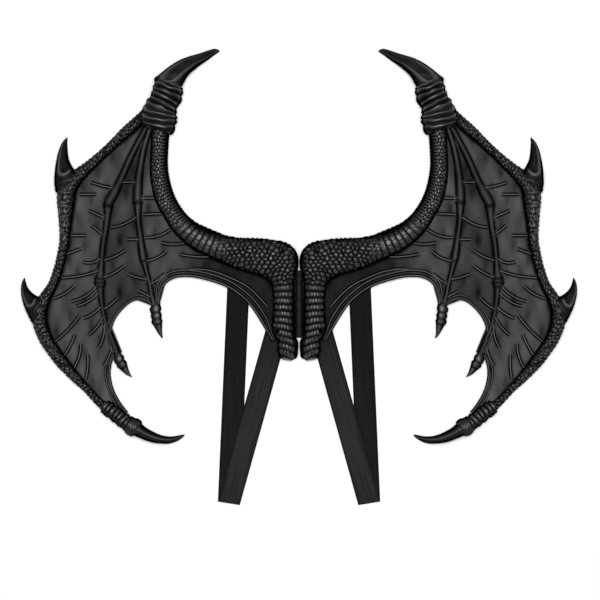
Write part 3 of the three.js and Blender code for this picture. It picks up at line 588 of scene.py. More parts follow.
def cuff_pattern(skin):
    """Folds in two zones. The lower ones fall steeply from the outer edge and then run level.
    The upper ones are straight and slant, and their crests die out at the edges."""
    x, y, share = np.abs(skin["x"]), skin["y"], skin["share"]
    upper = fade(skin["row"], *UPPER_FOLDS)
    level_fall = LEVEL_FALL * fade(share, -0.05, 0.45)
    straight_fall = STRAIGHT_FALL * share
    fall = level_fall + (straight_fall - level_fall) * upper
    wander = 1.3 * MM * drift(x, y, 0.05, 1) + 0.7 * MM * drift(x, y, 0.022, 3)
    fold = CUFF_FOLD[0] * (1 - 0.08 * upper)
    phase = (skin["along"] + fall + wander) / fold
    roll = rolls(phase, sharp=1.4)
    between = 0.3 * rolls(phase + 0.45, sharp=1.2) ** 8 * (1 - upper)
    calm = fade(share, 0, 0.14) * fade(share, 1, 0.72)
    # painted light: a thin highlight on the crest of each fold, brighter and darker in slow
    # patches, and painted shade towards both edges
    lit = 0.55 + 0.45 * drift(x, y, 0.03, 2)
    height = (roll - 0.4) * CUFF_FOLD[1] * (0.35 + 0.65 * calm)
    highlight = np.maximum(roll**4, between)
    return height, (0.02 + 0.94 * highlight) * (0.15 + 0.85 * calm) * (0.4 + 0.6 * lit)


def collar_pattern(skin):
    """Wrinkles on the half towards the membrane, dark scales on the outer half and fine
    creases on the bulge."""
    along, across, share = skin["along"], skin["across"], skin["share"]
    wander = 1.4 * MM * drift(np.abs(skin["x"]), skin["y"], 0.024, 2)
    roll = rolls((along + 3 * MM * share + wander) / COLLAR_FOLD[0], sharp=1.5)
    scale = slanted_scales(along, across)
    outer = fade(share, *OUTER_HALF)
    bulge = fade(skin["row"], *BULGE_ROWS)
    crease = rolls((along + 2 * wander) / (0.5 * COLLAR_FOLD[0]), sharp=2)
    height = roll * COLLAR_FOLD[1] * (1 - outer) + (scale - 0.3) * RIM_SCALE[2] * outer
    height = height * (1 - bulge) + CREASE_DEEP * (crease - 1) * bulge
    # painted light: the wrinkles are light on top and shaded in their creases, the scales on the
    # outer half are dark, and the bulge is dark with a painted highlight on its fine creases
    shade = roll**2 * (1 - outer) * (0.75 + 0.25 * drift(along, across, 0.02, 5))
    shade = shade + 0.22 * scale**1.8 * outer
    return height, shade * (1 - bulge) + (0.12 + 0.22 * crease) * bulge


# %% [markdown]
# The claws are smooth. A shallow hollow runs on them from near the root to the point, and thin
# painted highlights along its rim draw long lines on them. The hollow is shaped like a drop: it
# starts with a round end and dies out before the point. A table says on which sides of it the
# highlight is painted.

# %% Claw tables
CLAWS = {
    # tall in metres, ribs, table
    "thumb_claw": (0.028, 160, np.array([
        # out, up, to out, to up, tall
        [0.507, 0.524, 0.437, 0.509, 0.86],
        [0.519, 0.538, 0.415, 0.527, 0.95],
        [0.498, 0.552, 0.403, 0.542, 1.00],
        [0.470, 0.568, 0.390, 0.553, 0.93],
        [0.436, 0.584, 0.374, 0.563, 0.82],
        [0.401, 0.595, 0.355, 0.574, 0.68],
        [0.355, 0.605, 0.331, 0.586, 0.50],
        [0.324, 0.613, 0.309, 0.598, 0.34],
        [0.302, 0.617, 0.291, 0.607, 0.20],
        [0.287, 0.614, 0.285, 0.610, 0.08],
    ])),
    "upper_spur": (0.020, 100, np.array([
        [0.871, 0.251, 0.790, 0.284, 0.92],
        [0.878, 0.274, 0.800, 0.302, 1.00],
        [0.877, 0.304, 0.815, 0.319, 0.85],
        [0.872, 0.332, 0.826, 0.336, 0.66],
        [0.863, 0.360, 0.831, 0.358, 0.46],
        [0.850, 0.381, 0.833, 0.377, 0.27],
        [0.836, 0.392, 0.832, 0.392, 0.08],
    ])),
    "lower_spur": (0.020, 100, np.array([
        [0.955, -0.079, 0.908, -0.020, 0.92],
        [0.971, -0.061, 0.927, -0.014, 1.00],
        [0.987, -0.036, 0.946, -0.008, 0.85],
        [0.997, -0.010, 0.964, 0.002, 0.66],
        [0.999, 0.010, 0.976, 0.013, 0.46],
        [0.996, 0.025, 0.982, 0.025, 0.27],
        [0.989, 0.036, 0.986, 0.036, 0.08],
    ])),
    "tip_claw": (0.020, 120, np.array([
        [0.577, -0.327, 0.610, -0.358, 0.90],
        [0.561, -0.337, 0.586, -0.365, 1.00],
        [0.541, -0.347, 0.558, -0.374, 0.92],
        [0.517, -0.356, 0.527, -0.381, 0.82],
        [0.492, -0.363, 0.496, -0.384, 0.70],
        [0.467, -0.366, 0.466, -0.384, 0.56],
        [0.442, -0.365, 0.441, -0.379, 0.40],
        [0.421, -0.362, 0.420, -0.370, 0.22],
        [0.412, -0.362, 0.411, -0.364, 0.07],
    ])),
}

# %% Claw pattern
# widths of the painted shade on a claw's flanks
CLAW_SHADED_FLANKS = (7 * MM, 7 * MM)
HOLLOW_DEEP, ROOT_FOLD, STREAK_DEEP = 1.5 * MM, 1.0 * MM, 0.05 * MM
RIM_AT, RIM_HALF = 1.15, 0.22
HOLLOWS = {
    # middle and half width of the hollow, start, painted highlight on the near rim, on the far
    # rim and on the bottom, shade of the body
    "thumb_claw": (0.49, 0.17, 0.20, 1.30, 1.10, 0.25, 0.12),
    "upper_spur": (0.55, 0.20, 0.34, 2.10, 0.45, 1.60, 0.10),
    "lower_spur": (0.55, 0.20, 0.34, 2.10, 0.45, 1.60, 0.10),
    "tip_claw": (0.62, 0.14, 0.06, 0.60, 0.95, 0.20, 0.20),
}


def claw_pattern(name):
    """The pattern of one claw. The hollow is a dip inside a drop, whose two directions are
    shares of the width and of the length. Highlights are painted only on its rim and on two
    folds at the root."""
    middle, half, start, near_lit, far_lit, bottom_lit, body_shade = HOLLOWS[name]

    def pattern(skin):
        share, done = skin["share"], skin["row"] / skin["row"].max()
        sideways_in = (share - middle) / half
        ahead = np.clip(start - done, 0, 1) / 0.1
        away = np.hypot(sideways_in, ahead)
        hollow = fade(away, 1.05, 0.4) * fade(done, 0.98, 0.6)
        root = rolls(done / 0.1 + 0.9 * share, sharp=2) * fade(done, 0.2, 0.05)
        streak = STREAK_DEEP * np.sin(share * 70 + 2 * np.sin(done * 9)) * fade(done, 1, 0.8)
        height = streak - HOLLOW_DEEP * hollow + ROOT_FOLD * root
        beside = ahead < 0.8
        lit = np.where(beside, np.where(sideways_in < 0, near_lit, far_lit), bottom_lit)
        rim = np.exp(-(((away - RIM_AT) / RIM_HALF) ** 2)) * fade(done, 1.0, 0.8)
        body = body_shade + 0.05 * drift(share, 2 * done, 0.7, 2) + 0.2 * fade(done, 0.8, 0.95)
        return height, body + 0.7 * rim * lit + 0.35 * root**3 * fade(done, 0.02, 0.06)

    return pattern


# %% [markdown]
# Where a finger bone ends, a small claw stands out of a ringed cuff beyond the edge of the
# membrane. The rings are already in the table as wide rows, so the pattern only paints shade
# into the narrow rows between them.

# %% Finger claw tables
FINGER_CLAW_WIDE, FINGER_CLAW_TALL = 0.0165, 0.013
FINGER_CLAW_BACK = 1.5 * MM
FINGER_CLAWS = {
    "long_finger_claw": np.array([
        # out, up, wide, tall
        [0.653, -0.157, 0.52, 0.60],
        [0.648, -0.166, 0.92, 0.90],
        [0.644, -0.174, 0.92, 0.90],
        [0.641, -0.177, 0.78, 0.80],
        [0.637, -0.182, 0.96, 1.00],
        [0.631, -0.189, 0.77, 0.86],
        [0.623, -0.198, 0.56, 0.68],
        [0.615, -0.206, 0.37, 0.50],
        [0.608, -0.211, 0.20, 0.30],
        [0.601, -0.216, 0.07, 0.10],
    ]),
    "short_finger_claw": np.array([
        [0.520, -0.030, 0.52, 0.60],
        [0.516, -0.038, 0.99, 0.90],
        [0.515, -0.048, 0.96, 0.90],
        [0.514, -0.052, 0.81, 0.80],
        [0.513, -0.057, 0.96, 0.90],
        [0.512, -0.064, 0.92, 0.88],
        [0.511, -0.068, 0.83, 0.80],
        [0.510, -0.074, 0.99, 1.00],
        [0.507, -0.082, 0.78, 0.86],
        [0.503, -0.093, 0.56, 0.68],
        [0.499, -0.103, 0.37, 0.50],
        [0.494, -0.112, 0.20, 0.30],
        [0.490, -0.117, 0.07, 0.10],
    ]),
}
# rows of the tables where a crease runs round, and its half width in rows
FINGER_CLAW_CREASES = {"long_finger_claw": (3.0, 5.3), "short_finger_claw": (3.0, 6.0, 8.0)}
CREASE_HALF = 0.3
LIT_LINE_AT, LIT_LINE_HALF = 0.4, 0.15


def finger_claw_pattern(name):
    """Nothing raised: painted shade in the creases at the narrow rows and one painted highlight
    line.
    """

    def pattern(skin):
        creases = FINGER_CLAW_CREASES[name]
        crease = sum(np.exp(-(((skin["row"] - r) / CREASE_HALF) ** 2)) for r in creases)
        lit_line = np.exp(-(((skin["share"] - LIT_LINE_AT) / LIT_LINE_HALF) ** 2))
        lit = 0.22 + 0.7 * lit_line
        return 0 * crease, lit * (1 - 0.9 * np.minimum(crease, 1))

    return pattern


# %% [markdown]
# The membrane is a web of foam a few millimetres thick. It doesn't lie quite flat, and
# everything raised on it follows the same slow waves, so its height is one function of the
# place that the web, the bones, the veins and the beads all call.

# %% Height of the web
WEB_BACK = 3 * MM
WEB_FRONT = 8 * MM
WEB_SHADE = 0.34
WEB_WAVES = np.array([
    # metres between crests, heading in degrees, height in millimetres, start in turns
    [0.120, 25, 0.55, 0.10],
    [0.085, 100, 0.45, 0.35],
    [0.058, -35, 0.30, 0.70],
    [0.041, 60, 0.16, 0.20],
])


def web_height(points):
    """Front of the web above the table: a level plus a sum of long low waves."""
    x, y = np.abs(points[..., 0]), points[..., 1]
    total = np.full(x.shape, WEB_FRONT)
    for highlight, degrees, height, start in WEB_WAVES:
        turn = math.radians(degrees)
        way = (x * math.cos(turn) + y * math.sin(turn)) / highlight + start
        total += height * MM * np.sin(2 * np.pi * way)
    return total


# %% [markdown]
# The two finger bones lie on the web. In the photograph each bone and vein is a bright
# ridge between two dark lines, where the foam dips on both sides of it. So a bone is a strip
# with five parts: lip, groove, dome, groove, lip. A joint has dark rings across it.

# %% Finger bone tables
BONE_WIDE, BONE_TALL, BONE_SUNK = 0.0135, 0.009, 0.002
BONES = {
    "long_finger": np.array([
        # out, up, wide, tall
        [0.549, 0.416, 0.43, 0.70],
        [0.579, 0.376, 0.46, 0.75],
        [0.608, 0.335, 0.51, 0.80],
        [0.640, 0.284, 0.60, 0.85],
        [0.667, 0.246, 0.85, 1.00],
        [0.682, 0.226, 0.81, 1.00],
        [0.687, 0.195, 0.60, 0.85],
        [0.693, 0.162, 0.48, 0.80],
        [0.700, 0.132, 0.46, 0.80],
        [0.706, 0.094, 0.45, 0.80],
        [0.710, 0.061, 0.53, 0.85],
        [0.713, 0.038, 0.80, 1.00],
        [0.714, 0.023, 0.99, 1.05],
        [0.713, 0.008, 0.64, 0.85],
        [0.709, -0.020, 0.38, 0.70],
        [0.703, -0.048, 0.34, 0.65],
        [0.691, -0.084, 0.34, 0.65],
        [0.674, -0.115, 0.38, 0.70],
        [0.653, -0.157, 0.53, 0.75],
    ]),
    "short_finger": np.array([
        [0.534, 0.416, 0.43, 0.70],
        [0.554, 0.371, 0.47, 0.75],
        [0.567, 0.327, 0.51, 0.80],
        [0.576, 0.282, 0.70, 0.95],
        [0.579, 0.239, 0.80, 1.05],
        [0.578, 0.206, 0.56, 0.85],
        [0.576, 0.175, 0.45, 0.80],
        [0.570, 0.145, 0.47, 0.80],
        [0.565, 0.114, 0.58, 0.90],
        [0.558, 0.086, 0.66, 1.00],
        [0.554, 0.072, 0.45, 0.75],
        [0.547, 0.051, 0.30, 0.60],
        [0.537, 0.023, 0.30, 0.60],
        [0.529, -0.008, 0.36, 0.65],
        [0.522, -0.028, 0.50, 0.70],
    ]),
}

# rows of the table where a ring crosses the joint
BONE_RINGS = {"long_finger": (5.3, 11.3, 12.0, 12.7), "short_finger": (4.4, 9.6)}
# how long a ring is along the bone and how much painted shade darkens it; below, the size of the
# lips and the painted highlight on top of a bone
RING_LONG, RING_DARK = 0.13, 0.75
BONE_LIP, BONE_HIGHLIGHT = 1.45, 0.55

# %% [markdown]
# The web isn't one tone. It is lighter and darker in blotches and streaks, and darker between
# the two bones and towards the wrist. Painted shade darkens it beside the bones and most of all
# near the body.

# %% Tone of the web
BETWEEN_TONE = 0.6
NEAR_BODY_SHADE, NEAR_BODY = 0.18, (0.10, 0.22)
WRIST_TONE, NEAR_WRIST = 0.84, (0.10, 0.18)
BLOTCH, STREAK = 0.12, 0.14
BESIDE_BONE = 4 * MM
BONE_SHADOW = 10 * MM


def bone_at(name, y):
    """Place across of a finger bone at the height y, from its table."""
    table = BONES[name][::-1]
    return np.interp(y, table[:, 1] * RISE, table[:, 0] * SPAN / 2)


def web_tone(points):
    """Shade of the web at a place: blotches and streaks, painted shade beside the bones and
    near the body, and darker between the bones and towards the wrist.
    """
    x, y = np.abs(points[..., 0]), points[..., 1]
    blotch = BLOTCH * (drift(x, y, 0.085, 1) + drift(x, 0.5 * y, 0.03, 4))
    streak = STREAK * fade(drift(x, 0.3 * y, 0.018, 2), 0.1, 0.9)
    past_short, past_long = x - bone_at("short_finger", y), x - bone_at("long_finger", y)
    between = fade(past_short, 0, BESIDE_BONE) * fade(past_long, BESIDE_BONE, 0)
    gap = np.minimum(np.abs(past_short), np.abs(past_long))
    # painted shade beside the bones and near the body
    beside_bone_shade = 0.6 + 0.4 * fade(gap, 0.2 * BONE_SHADOW, BONE_SHADOW)
    near_body = NEAR_BODY_SHADE + (1 - NEAR_BODY_SHADE) * fade(x, *NEAR_BODY)
    near_wrist = 1 - (1 - WRIST_TONE) * fade(y, *NEAR_WRIST)
    darker = (1 - (1 - BETWEEN_TONE) * between) * beside_bone_shade * near_body * near_wrist
    return (WEB_SHADE + blotch - streak) * darker


# %% [markdown]
# Bones, veins and beads are all ridges that grow out of the web. Each could be a tube pushed
# into it, but then the dark dips beside it would be missing, so each is a strip of the web
# with its own profile across, sunk at its underside.

# %% Strips that lie on the web
STRIP_SUNK = 1.4 * MM
UNDERSIDE_WIDE = 0.96
LIP = np.array([
    # beyond the ridge, above the web, shade: all but the last in millimetres. A shade of 0
    # paints the groove black as shade.
    [2.9, -0.20, 0.35],
    [2.2, 0.22, 0.36],
    [1.7, 0.28, 0.30],
    [1.3, 0.12, 0.04],
    [0.8, 0.05, 0.0],
    [0.2, 0.05, 0.0],
])


def strip(side, line, offset, height, shade):
    """Closed strip on the web: offset is the way sideways and height the way above the web,
    for each point of the line and each place across. The underside is sunk in the web."""
    across = sideways(side, line)
    under = offset[..., [-1, 0]] * UNDERSIDE_WIDE
    offset = np.concatenate([offset, under], -1)
    plan = line[..., None, :] + across[..., None, :] * offset[..., None]
    above = np.concatenate([height, np.full(under.shape, -STRIP_SUNK)], -1)
    shade = np.concatenate([shade, np.full(under.shape, WEB_SHADE)], -1)
    tone = web_tone(plan) / WEB_SHADE
    grid = np.concatenate([plan, (web_height(plan) + above)[..., None]], -1)
    # the web's tone and painted shade darken a strip too, but its painted highlights stay
    return grid, shade * (tone + (1 - tone) * shade**2)


def ridge_with_lips(half, dome_height, strength, lip, highlight, dome_points=15):
    """Places, heights and shades across a ridge of the given half width and height, with
    a groove and a lip on each side. Lip sizes the lips, highlight is the painted highlight on
    top, and all of it fades with strength. The grooves are painted black as shade."""
    angle = np.linspace(0, np.pi, dome_points)
    half, dome_height, strength = (v[..., None] for v in (half, dome_height, strength))
    dome_offset = -half * np.cos(angle)
    dome = dome_height * np.sin(angle) ** FULLNESS
    left = -half - LIP[:, 0] * MM * lip * (0.15 + 0.85 * np.sqrt(strength))
    side_height = LIP[:, 1] * MM * strength - 0.1 * MM * (1 - strength)
    offset = np.concatenate([left, dome_offset, -left[..., ::-1]], -1)
    height = np.concatenate([side_height, dome, side_height[..., ::-1]], -1)
    lip_shade = WEB_SHADE + (LIP[:, 2] - WEB_SHADE) * np.sqrt(strength)
    dome_shade = highlight * np.sin(angle) ** 0.8 * np.ones_like(dome)
    return offset, height, np.concatenate([lip_shade, dome_shade, lip_shade[..., ::-1]], -1)


def bone(side, table, rings, count=260):
    """Strip along a finger bone whose joints are the wide rows of its table."""
    ribs = ribs_along(side, table, BONE_WIDE, BONE_TALL, count)
    middle = (ribs["near"] + ribs["far"]) / 2
    half = np.linalg.norm(ribs["near"] - ribs["far"], axis=1) / 2
    ring = sum(np.exp(-(((ribs["row"] - r) / RING_LONG) ** 2)) for r in rings)
    offset, height, shade = ridge_with_lips(
        half, (ribs["tall"] - BONE_SUNK) * (1 - 0.3 * ring), np.ones(len(half)), BONE_LIP,
        BONE_HIGHLIGHT,
    )
    # painted shade in the rings of each joint
    shade = shade * (1 - RING_DARK * ring[:, None])
    return closed_skin(*strip(side, middle, offset, height, shade))


# %% [markdown]
# The web itself is three ruled panels in each wing: rim to long finger, long finger to short
# finger, and short finger to arm. A ruled surface is the simplest one that joins two curves:
# straight lines from one to the other. An edge turns the corner from a finger to a scalloped
# bay, so a table of pairs says which rows of the two edges face each other.

# %% Bays and panels
TIP_BAY = np.array([
    # out, up
    [0.615, -0.305], [0.642, -0.280], [0.667, -0.246],
    [0.678, -0.211], [0.676, -0.188], [0.669, -0.168],
])
MIDDLE_BAY = np.array([
    [0.632, -0.165], [0.661, -0.136], [0.673, -0.099], [0.662, -0.070],
    [0.631, -0.041], [0.594, -0.022], [0.554, -0.022], [0.532, -0.034],
])
INNER_BAY = np.array([
    [0.500, -0.036], [0.498, -0.008], [0.482, 0.019], [0.450, 0.035], [0.396, 0.039],
    [0.333, 0.031], [0.258, 0.012], [0.183, -0.028], [0.133, -0.079], [0.097, -0.124],
])
LONG_END, SHORT_END = len(BONES["long_finger"]), len(BONES["short_finger"])
FACING = {
    # one edge's row, the other edge's row: a bay's rows follow on from its finger's
    "outer": np.array([
        [0, 0], [7, 3.6], [12, 10], [15, 13.5], [18, 17], [20, LONG_END],
        [22, LONG_END + 2.5], [23, LONG_END + 3.6], [24, LONG_END + 5],
    ]),
    "middle": np.array([
        [0, 0], [12, SHORT_END - 1], [13, SHORT_END + 1], [14, SHORT_END + 2],
        [15, SHORT_END + 3], [16, SHORT_END + 4.3], [17, SHORT_END + 5.3], [18, SHORT_END + 7],
    ]),
    "inner": np.array([
        [0, 0], [6.5, SHORT_END - 1], [8.6, SHORT_END + 3], [11, SHORT_END + 5],
        [14, SHORT_END + 7], [19, SHORT_END + 8], [22, SHORT_END + 9],
    ]),
}
PANEL_COLUMNS, PANEL_ROWS = 40, 90
LIMB_SHADOW = 5 * MM
# ribs of the arm's table, from the wrist, that the web is joined to
WEB_RIBS = 23


def edge_of(side, *tables):
    """Points and table rows of one edge. The rows of a second table follow on."""
    points, rows, start = [], [], 0
    for table in tables:
        line = smooth(place(side, table))
        points.append(line)
        rows.append(start + np.arange(len(line)) / FINE)
        start += len(table)
    return np.vstack(points), np.concatenate(rows)


def at_rows(edge, wanted):
    """Points of an edge at any rows of its tables, whole or not."""
    points, rows = edge
    return np.column_stack([np.interp(wanted, rows, v) for v in points.T])


def panel(one, other, facing, limb_half=None):
    """Closed ruled shell between two edges: straight across from one to the other in front,
    and back again behind. Painted shade darkens it beside a limb of the given half width."""
    steps = np.linspace(facing[0, 0], facing[-1, 0], PANEL_ROWS)
    steps = np.unique(np.concatenate([steps, facing[:, 0]]))
    start = at_rows(one, steps)
    stop = at_rows(other, np.interp(steps, facing[:, 0], facing[:, 1]))
    u = np.linspace(0, 1, PANEL_COLUMNS)[None, :, None]
    plan = start[:, None] * (1 - u) + stop[:, None] * u
    shade = web_tone(plan)
    if limb_half is not None:
        half = np.interp(steps, np.arange(len(limb_half)), limb_half)[:, None]
        beyond = u[..., 0] * np.linalg.norm(stop - start, axis=1)[:, None] - half
        # painted shadow beside the limb
        shade = shade * (0.15 + 0.85 * fade(beyond, 0, LIMB_SHADOW))
    front = np.dstack([plan, web_height(plan)])
    back = np.dstack([plan, np.full(plan.shape[:2], WEB_BACK)])
    grid = np.concatenate([front, back[:, ::-1]], 1)
    return closed_skin(grid, np.concatenate([shade, shade[:, ::-1]], 1))


def web(side):
    """The three panels of one wing."""
    long_finger, short_finger = (BONES[k][:, :2] for k in ("long_finger", "short_finger"))
    near, far = ARM_RIBS[:WEB_RIBS, :2], ARM_RIBS[:WEB_RIBS, 2:4]
    arm_half = np.linalg.norm(place(side, near) - place(side, far), axis=1) / 2
    rim_half = RIM_PATH[:, 2] * RIM_WIDE / 2
    return [
        panel(edge_of(side, RIM_PATH[:, :2]), edge_of(side, long_finger, TIP_BAY[::-1]),
              FACING["outer"], rim_half),
        panel(edge_of(side, long_finger), edge_of(side, short_finger, MIDDLE_BAY[::-1]),
              FACING["middle"]),
        panel(edge_of(side, (near + far) / 2), edge_of(side, short_finger, INNER_BAY),
              FACING["inner"], arm_half),
    ]


# %% [markdown]
# Fine veins branch from the bones and limbs. Each is a short bowed strip that comes to a
# point at its free end and runs on under the limb at the other. All of one wing's veins are
# worked out together in one array.

# %% Veins
VEIN_HALF, VEIN_TALL, VEIN_LIP = 0.95 * MM, 1.4 * MM, 1.25
ROOTED_WITHIN, FREE_BEYOND, RUN_ON = 9 * MM, 13 * MM, 2 * MM
VEINS = np.array([
    # out, up, to out, to up, bow
    [0.754, 0.280, 0.663, 0.264, -0.04],
    [0.795, 0.247, 0.721, 0.247, 0.00],
    [0.762, 0.208, 0.696, 0.187, 0.00],
    [0.749, 0.171, 0.704, 0.146, 0.00],
    [0.820, 0.143, 0.757, 0.143, 0.00],
    [0.830, 0.097, 0.777, 0.111, 0.00],
    [0.783, 0.078, 0.717, 0.085, -0.16],
    [0.849, 0.037, 0.720, 0.055, -0.05],
    [0.882, -0.015, 0.802, 0.019, -0.08],
    [0.827, -0.025, 0.731, 0.013, -0.10],
    [0.810, -0.037, 0.717, 0.002, -0.10],
    [0.780, -0.068, 0.714, -0.039, -0.07],
    [0.764, -0.113, 0.703, -0.060, -0.08],
    [0.725, -0.147, 0.700, -0.076, -0.10],
    [0.874, -0.124, 0.780, -0.053, -0.04],
    [0.841, -0.158, 0.800, -0.101, -0.04],
    [0.806, -0.189, 0.783, -0.125, -0.08],
    [0.764, -0.218, 0.759, -0.152, -0.04],
    [0.704, -0.191, 0.673, -0.142, -0.05],
    [0.640, 0.278, 0.587, 0.278, 0.00],
    [0.671, 0.165, 0.585, 0.191, -0.08],
    [0.695, 0.082, 0.615, 0.111, -0.06],
    [0.698, 0.039, 0.621, 0.070, -0.06],
    [0.621, 0.133, 0.574, 0.133, 0.00],
    [0.621, 0.048, 0.546, 0.033, -0.05],
    [0.577, 0.004, 0.535, -0.012, 0.00],
    [0.698, -0.041, 0.648, -0.012, -0.06],
    [0.566, 0.237, 0.522, 0.238, 0.00],
    [0.558, 0.196, 0.500, 0.198, 0.00],
    [0.547, 0.139, 0.467, 0.157, -0.09],
    [0.501, 0.126, 0.415, 0.124, -0.06],
    [0.547, 0.080, 0.473, 0.106, -0.09],
    [0.440, 0.097, 0.330, 0.089, -0.03],
    [0.528, 0.023, 0.476, 0.051, -0.06],
])


def rooted(side, ends):
    """1 for an end of a vein that reaches a bone or a limb and 0 for a free one."""
    tables = [*BONES.values(), RIM_PATH, ARM_RIBS]
    lines = np.vstack([smooth(place(side, table[:, :2])) for table in tables])
    gap = np.linalg.norm(ends[:, None] - lines, axis=2).min(1)
    return fade(gap, FREE_BEYOND, ROOTED_WITHIN)[:, None]


def vein_skins(side, steps=26):
    """Each vein is the parabola through its two ends that bows sideways by a share of its
    length. It is strongest in the middle and comes to a point at a free end."""
    start, stop = place(side, VEINS[:, :2]), place(side, VEINS[:, 2:4])
    from_limb, to_limb = rooted(side, start), rooted(side, stop)
    ahead = (stop - start) / np.linalg.norm(stop - start, axis=1, keepdims=True)
    start, stop = start - ahead * RUN_ON * from_limb, stop + ahead * RUN_ON * to_limb
    run = stop - start
    bow = np.column_stack([-run[:, 1], run[:, 0]]) * (-side * VEINS[:, 4:])
    w = np.linspace(0, 1, steps)
    line = start[:, None] + run[:, None] * w[:, None]
    line = line + bow[:, None] * (4 * w * (1 - w))[:, None]
    rise = np.maximum(fade(w, -0.04, 0.16), from_limb)
    strength = rise * np.maximum(fade(w, 1.04, 0.84), to_limb)
    half = VEIN_HALF * (0.1 + 0.9 * strength)
    ridge = ridge_with_lips(half, VEIN_TALL * strength, strength, VEIN_LIP, 1.0, 9)
    grid, shade = strip(side, line, *ridge)
    return [closed_skin(g, s) for g, s in zip(grid, shade)]


# %% [markdown]
# The scalloped edge is finished like a hem: a round bead, a groove, a flat band, a second
# groove and a thin ridge. One profile with all of these is carried along each bay, and it
# also wraps round the cut edge of the web.

# %% Edge of the bays
HEM = np.array([
    # inwards from the bay, above the web, shade: all but the last in millimetres. A shade of 0
    # paints the cut edge and the grooves black as shade, and a shade of 1 a highlight on a bead.
    [0.2, -4.9, 0.0],
    [-0.5, -4.2, 0.0],
    [-0.8, -2.2, 0.0],
    [-0.7, -0.4, 0.0],
    [0.3, 0.7, 0.0],
    [1.2, 1.4, 0.8],
    [2.0, 1.5, 1.0],
    [2.6, 0.6, 0.2],
    [3.0, 0.1, 0.0],
    [3.8, 0.1, 0.0],
    [4.2, 0.6, 0.25],
    [4.9, 0.85, 0.4],
    [5.9, 0.85, 0.4],
    [6.6, 0.6, 0.25],
    [7.1, 0.1, 0.0],
    [8.0, 0.1, 0.0],
    [8.5, 0.7, 0.6],
    [9.3, 1.3, 1.0],
    [9.9, 0.7, 0.4],
    [10.4, 0.1, 0.0],
    [11.1, 0.1, 0.05],
    [11.7, 0.3, 0.35],
    [12.8, -0.3, 0.36],
])
SECOND_BEAD = np.array([
    # out, up
    [0.404, 0.056], [0.360, 0.058], [0.306, 0.052], [0.250, 0.037],
    [0.195, 0.018], [0.155, -0.005], [0.112, -0.038],
])
HEM_STEP = 1.6 * MM
SMALL_BAY_HEM = 0.7


def along_line(line, shares):
    """Points at the given shares of a line's length."""
    length = distance_along(line)
    even = shares * length[-1]
    return np.column_stack([np.interp(even, length, v) for v in line.T])


def hem(side, bay, narrow=1.0):
    """The profile swept along one bay. It narrows at both ends, where it meets a claw."""
    line = smooth(place(side, bay))
    length = distance_along(line)
    count = int(length[-1] / HEM_STEP)
    line = along_line(line, np.linspace(0, 1, count))
    w = np.linspace(0, 1, count)[:, None]
    tight = narrow * (0.45 + 0.55 * fade(w, 0, 0.16) * fade(w, 1, 0.84))
    offset = np.where(HEM[:, 0] > 2, HEM[:, 0] * tight, HEM[:, 0]) * MM * np.ones_like(w)
    height = HEM[:, 1] * MM * np.ones_like(w)
    shade = HEM[:, 2] * np.ones_like(w)
    return closed_skin(*strip(side, line, offset, height, shade))


def second_bead(side, count=110):
    """A thin ridge with lips that runs beside the inner bay and fades at both ends."""
    line = along_line(smooth(place(side, SECOND_BEAD)), np.linspace(0, 1, count))
    w = np.linspace(0, 1, count)
    strength = fade(w, 0, 0.1) * fade(w, 1, 0.95)
    half = VEIN_HALF * (0.4 + 0.6 * strength)
    ridge = ridge_with_lips(half, VEIN_TALL * strength, strength, VEIN_LIP, 1.0)
    return closed_skin(*strip(side, line, *ridge))


# %% [markdown]
# Each strap is one length of flat black elastic, folded flat. It lies under the wing, runs
# down to an oblique crease and comes back on top of itself. Every thread goes straight to the
# crease and straight on from it, so the strap is worked out as rows that turn from square
# across to the slant of the crease, with half a turn of a small circle between the two runs.

# %% Strap shape
STRAP_WIDE, STRAP_THICK = 0.032, 0.0015
STRAP_TOP, STRAP_FOLD, STRAP_END = (
    np.array([v]) for v in ((0.212, 0.114), (0.252, -0.5335), (0.071, -0.076))
)
LEAVES_TABLE, REACHES_TOP = 0.22, 0.44
RUN_STEPS, TURN_STEPS = 90, 9


def strap_rows(side):
    """Middle, half width and normal of each row of the strap, in space, and the way along."""
    top, fold, end = (place(side, v)[0] for v in (STRAP_TOP, STRAP_FOLD, STRAP_END))
    lower, upper = (fold - top), (fold - end)
    lower_long, upper_long = np.linalg.norm(lower), np.linalg.norm(upper)
    lower, upper = lower / lower_long, upper / upper_long
    outward = (lower + upper) / np.linalg.norm(lower + upper)
    crease = np.array([-outward[1], outward[0]])
    square_lower = np.array([-lower[1], lower[0]])
    square_upper = np.array([-upper[1], upper[0]])
    half = STRAP_WIDE / 2
    slant = crease * half / (crease @ square_lower)
    w = np.linspace(0, 1, RUN_STEPS)[:, None]
    turn = np.linspace(0, np.pi, TURN_STEPS)[1:-1, None]
    low, high, thick = STRAP_THICK / 2, STRAP_THICK * 1.5, STRAP_THICK / 2
    rise = low + (high - low) * fade(1 - w, LEAVES_TABLE, REACHES_TOP)
    middle = np.vstack([
        np.hstack([top + (fold - top) * w, low + 0 * w]),
        np.hstack([fold + outward * thick * np.sin(turn), STRAP_THICK - thick * np.cos(turn)]),
        np.hstack([fold + (end - fold) * w, rise]),
    ])
    flat = 0 * w
    width = np.vstack([
        np.hstack([square_lower * half * (1 - w) + slant * w, flat]),
        np.hstack([slant + 0 * turn, 0 * turn]),
        np.hstack([slant * (1 - w) + square_upper * half * w, flat]),
    ])
    along = distance_along(middle)
    slope = np.gradient(middle, axis=0)
    normal = np.cross(slope, width)
    normal /= np.linalg.norm(normal, axis=1, keepdims=True)
    return middle, width, normal, along


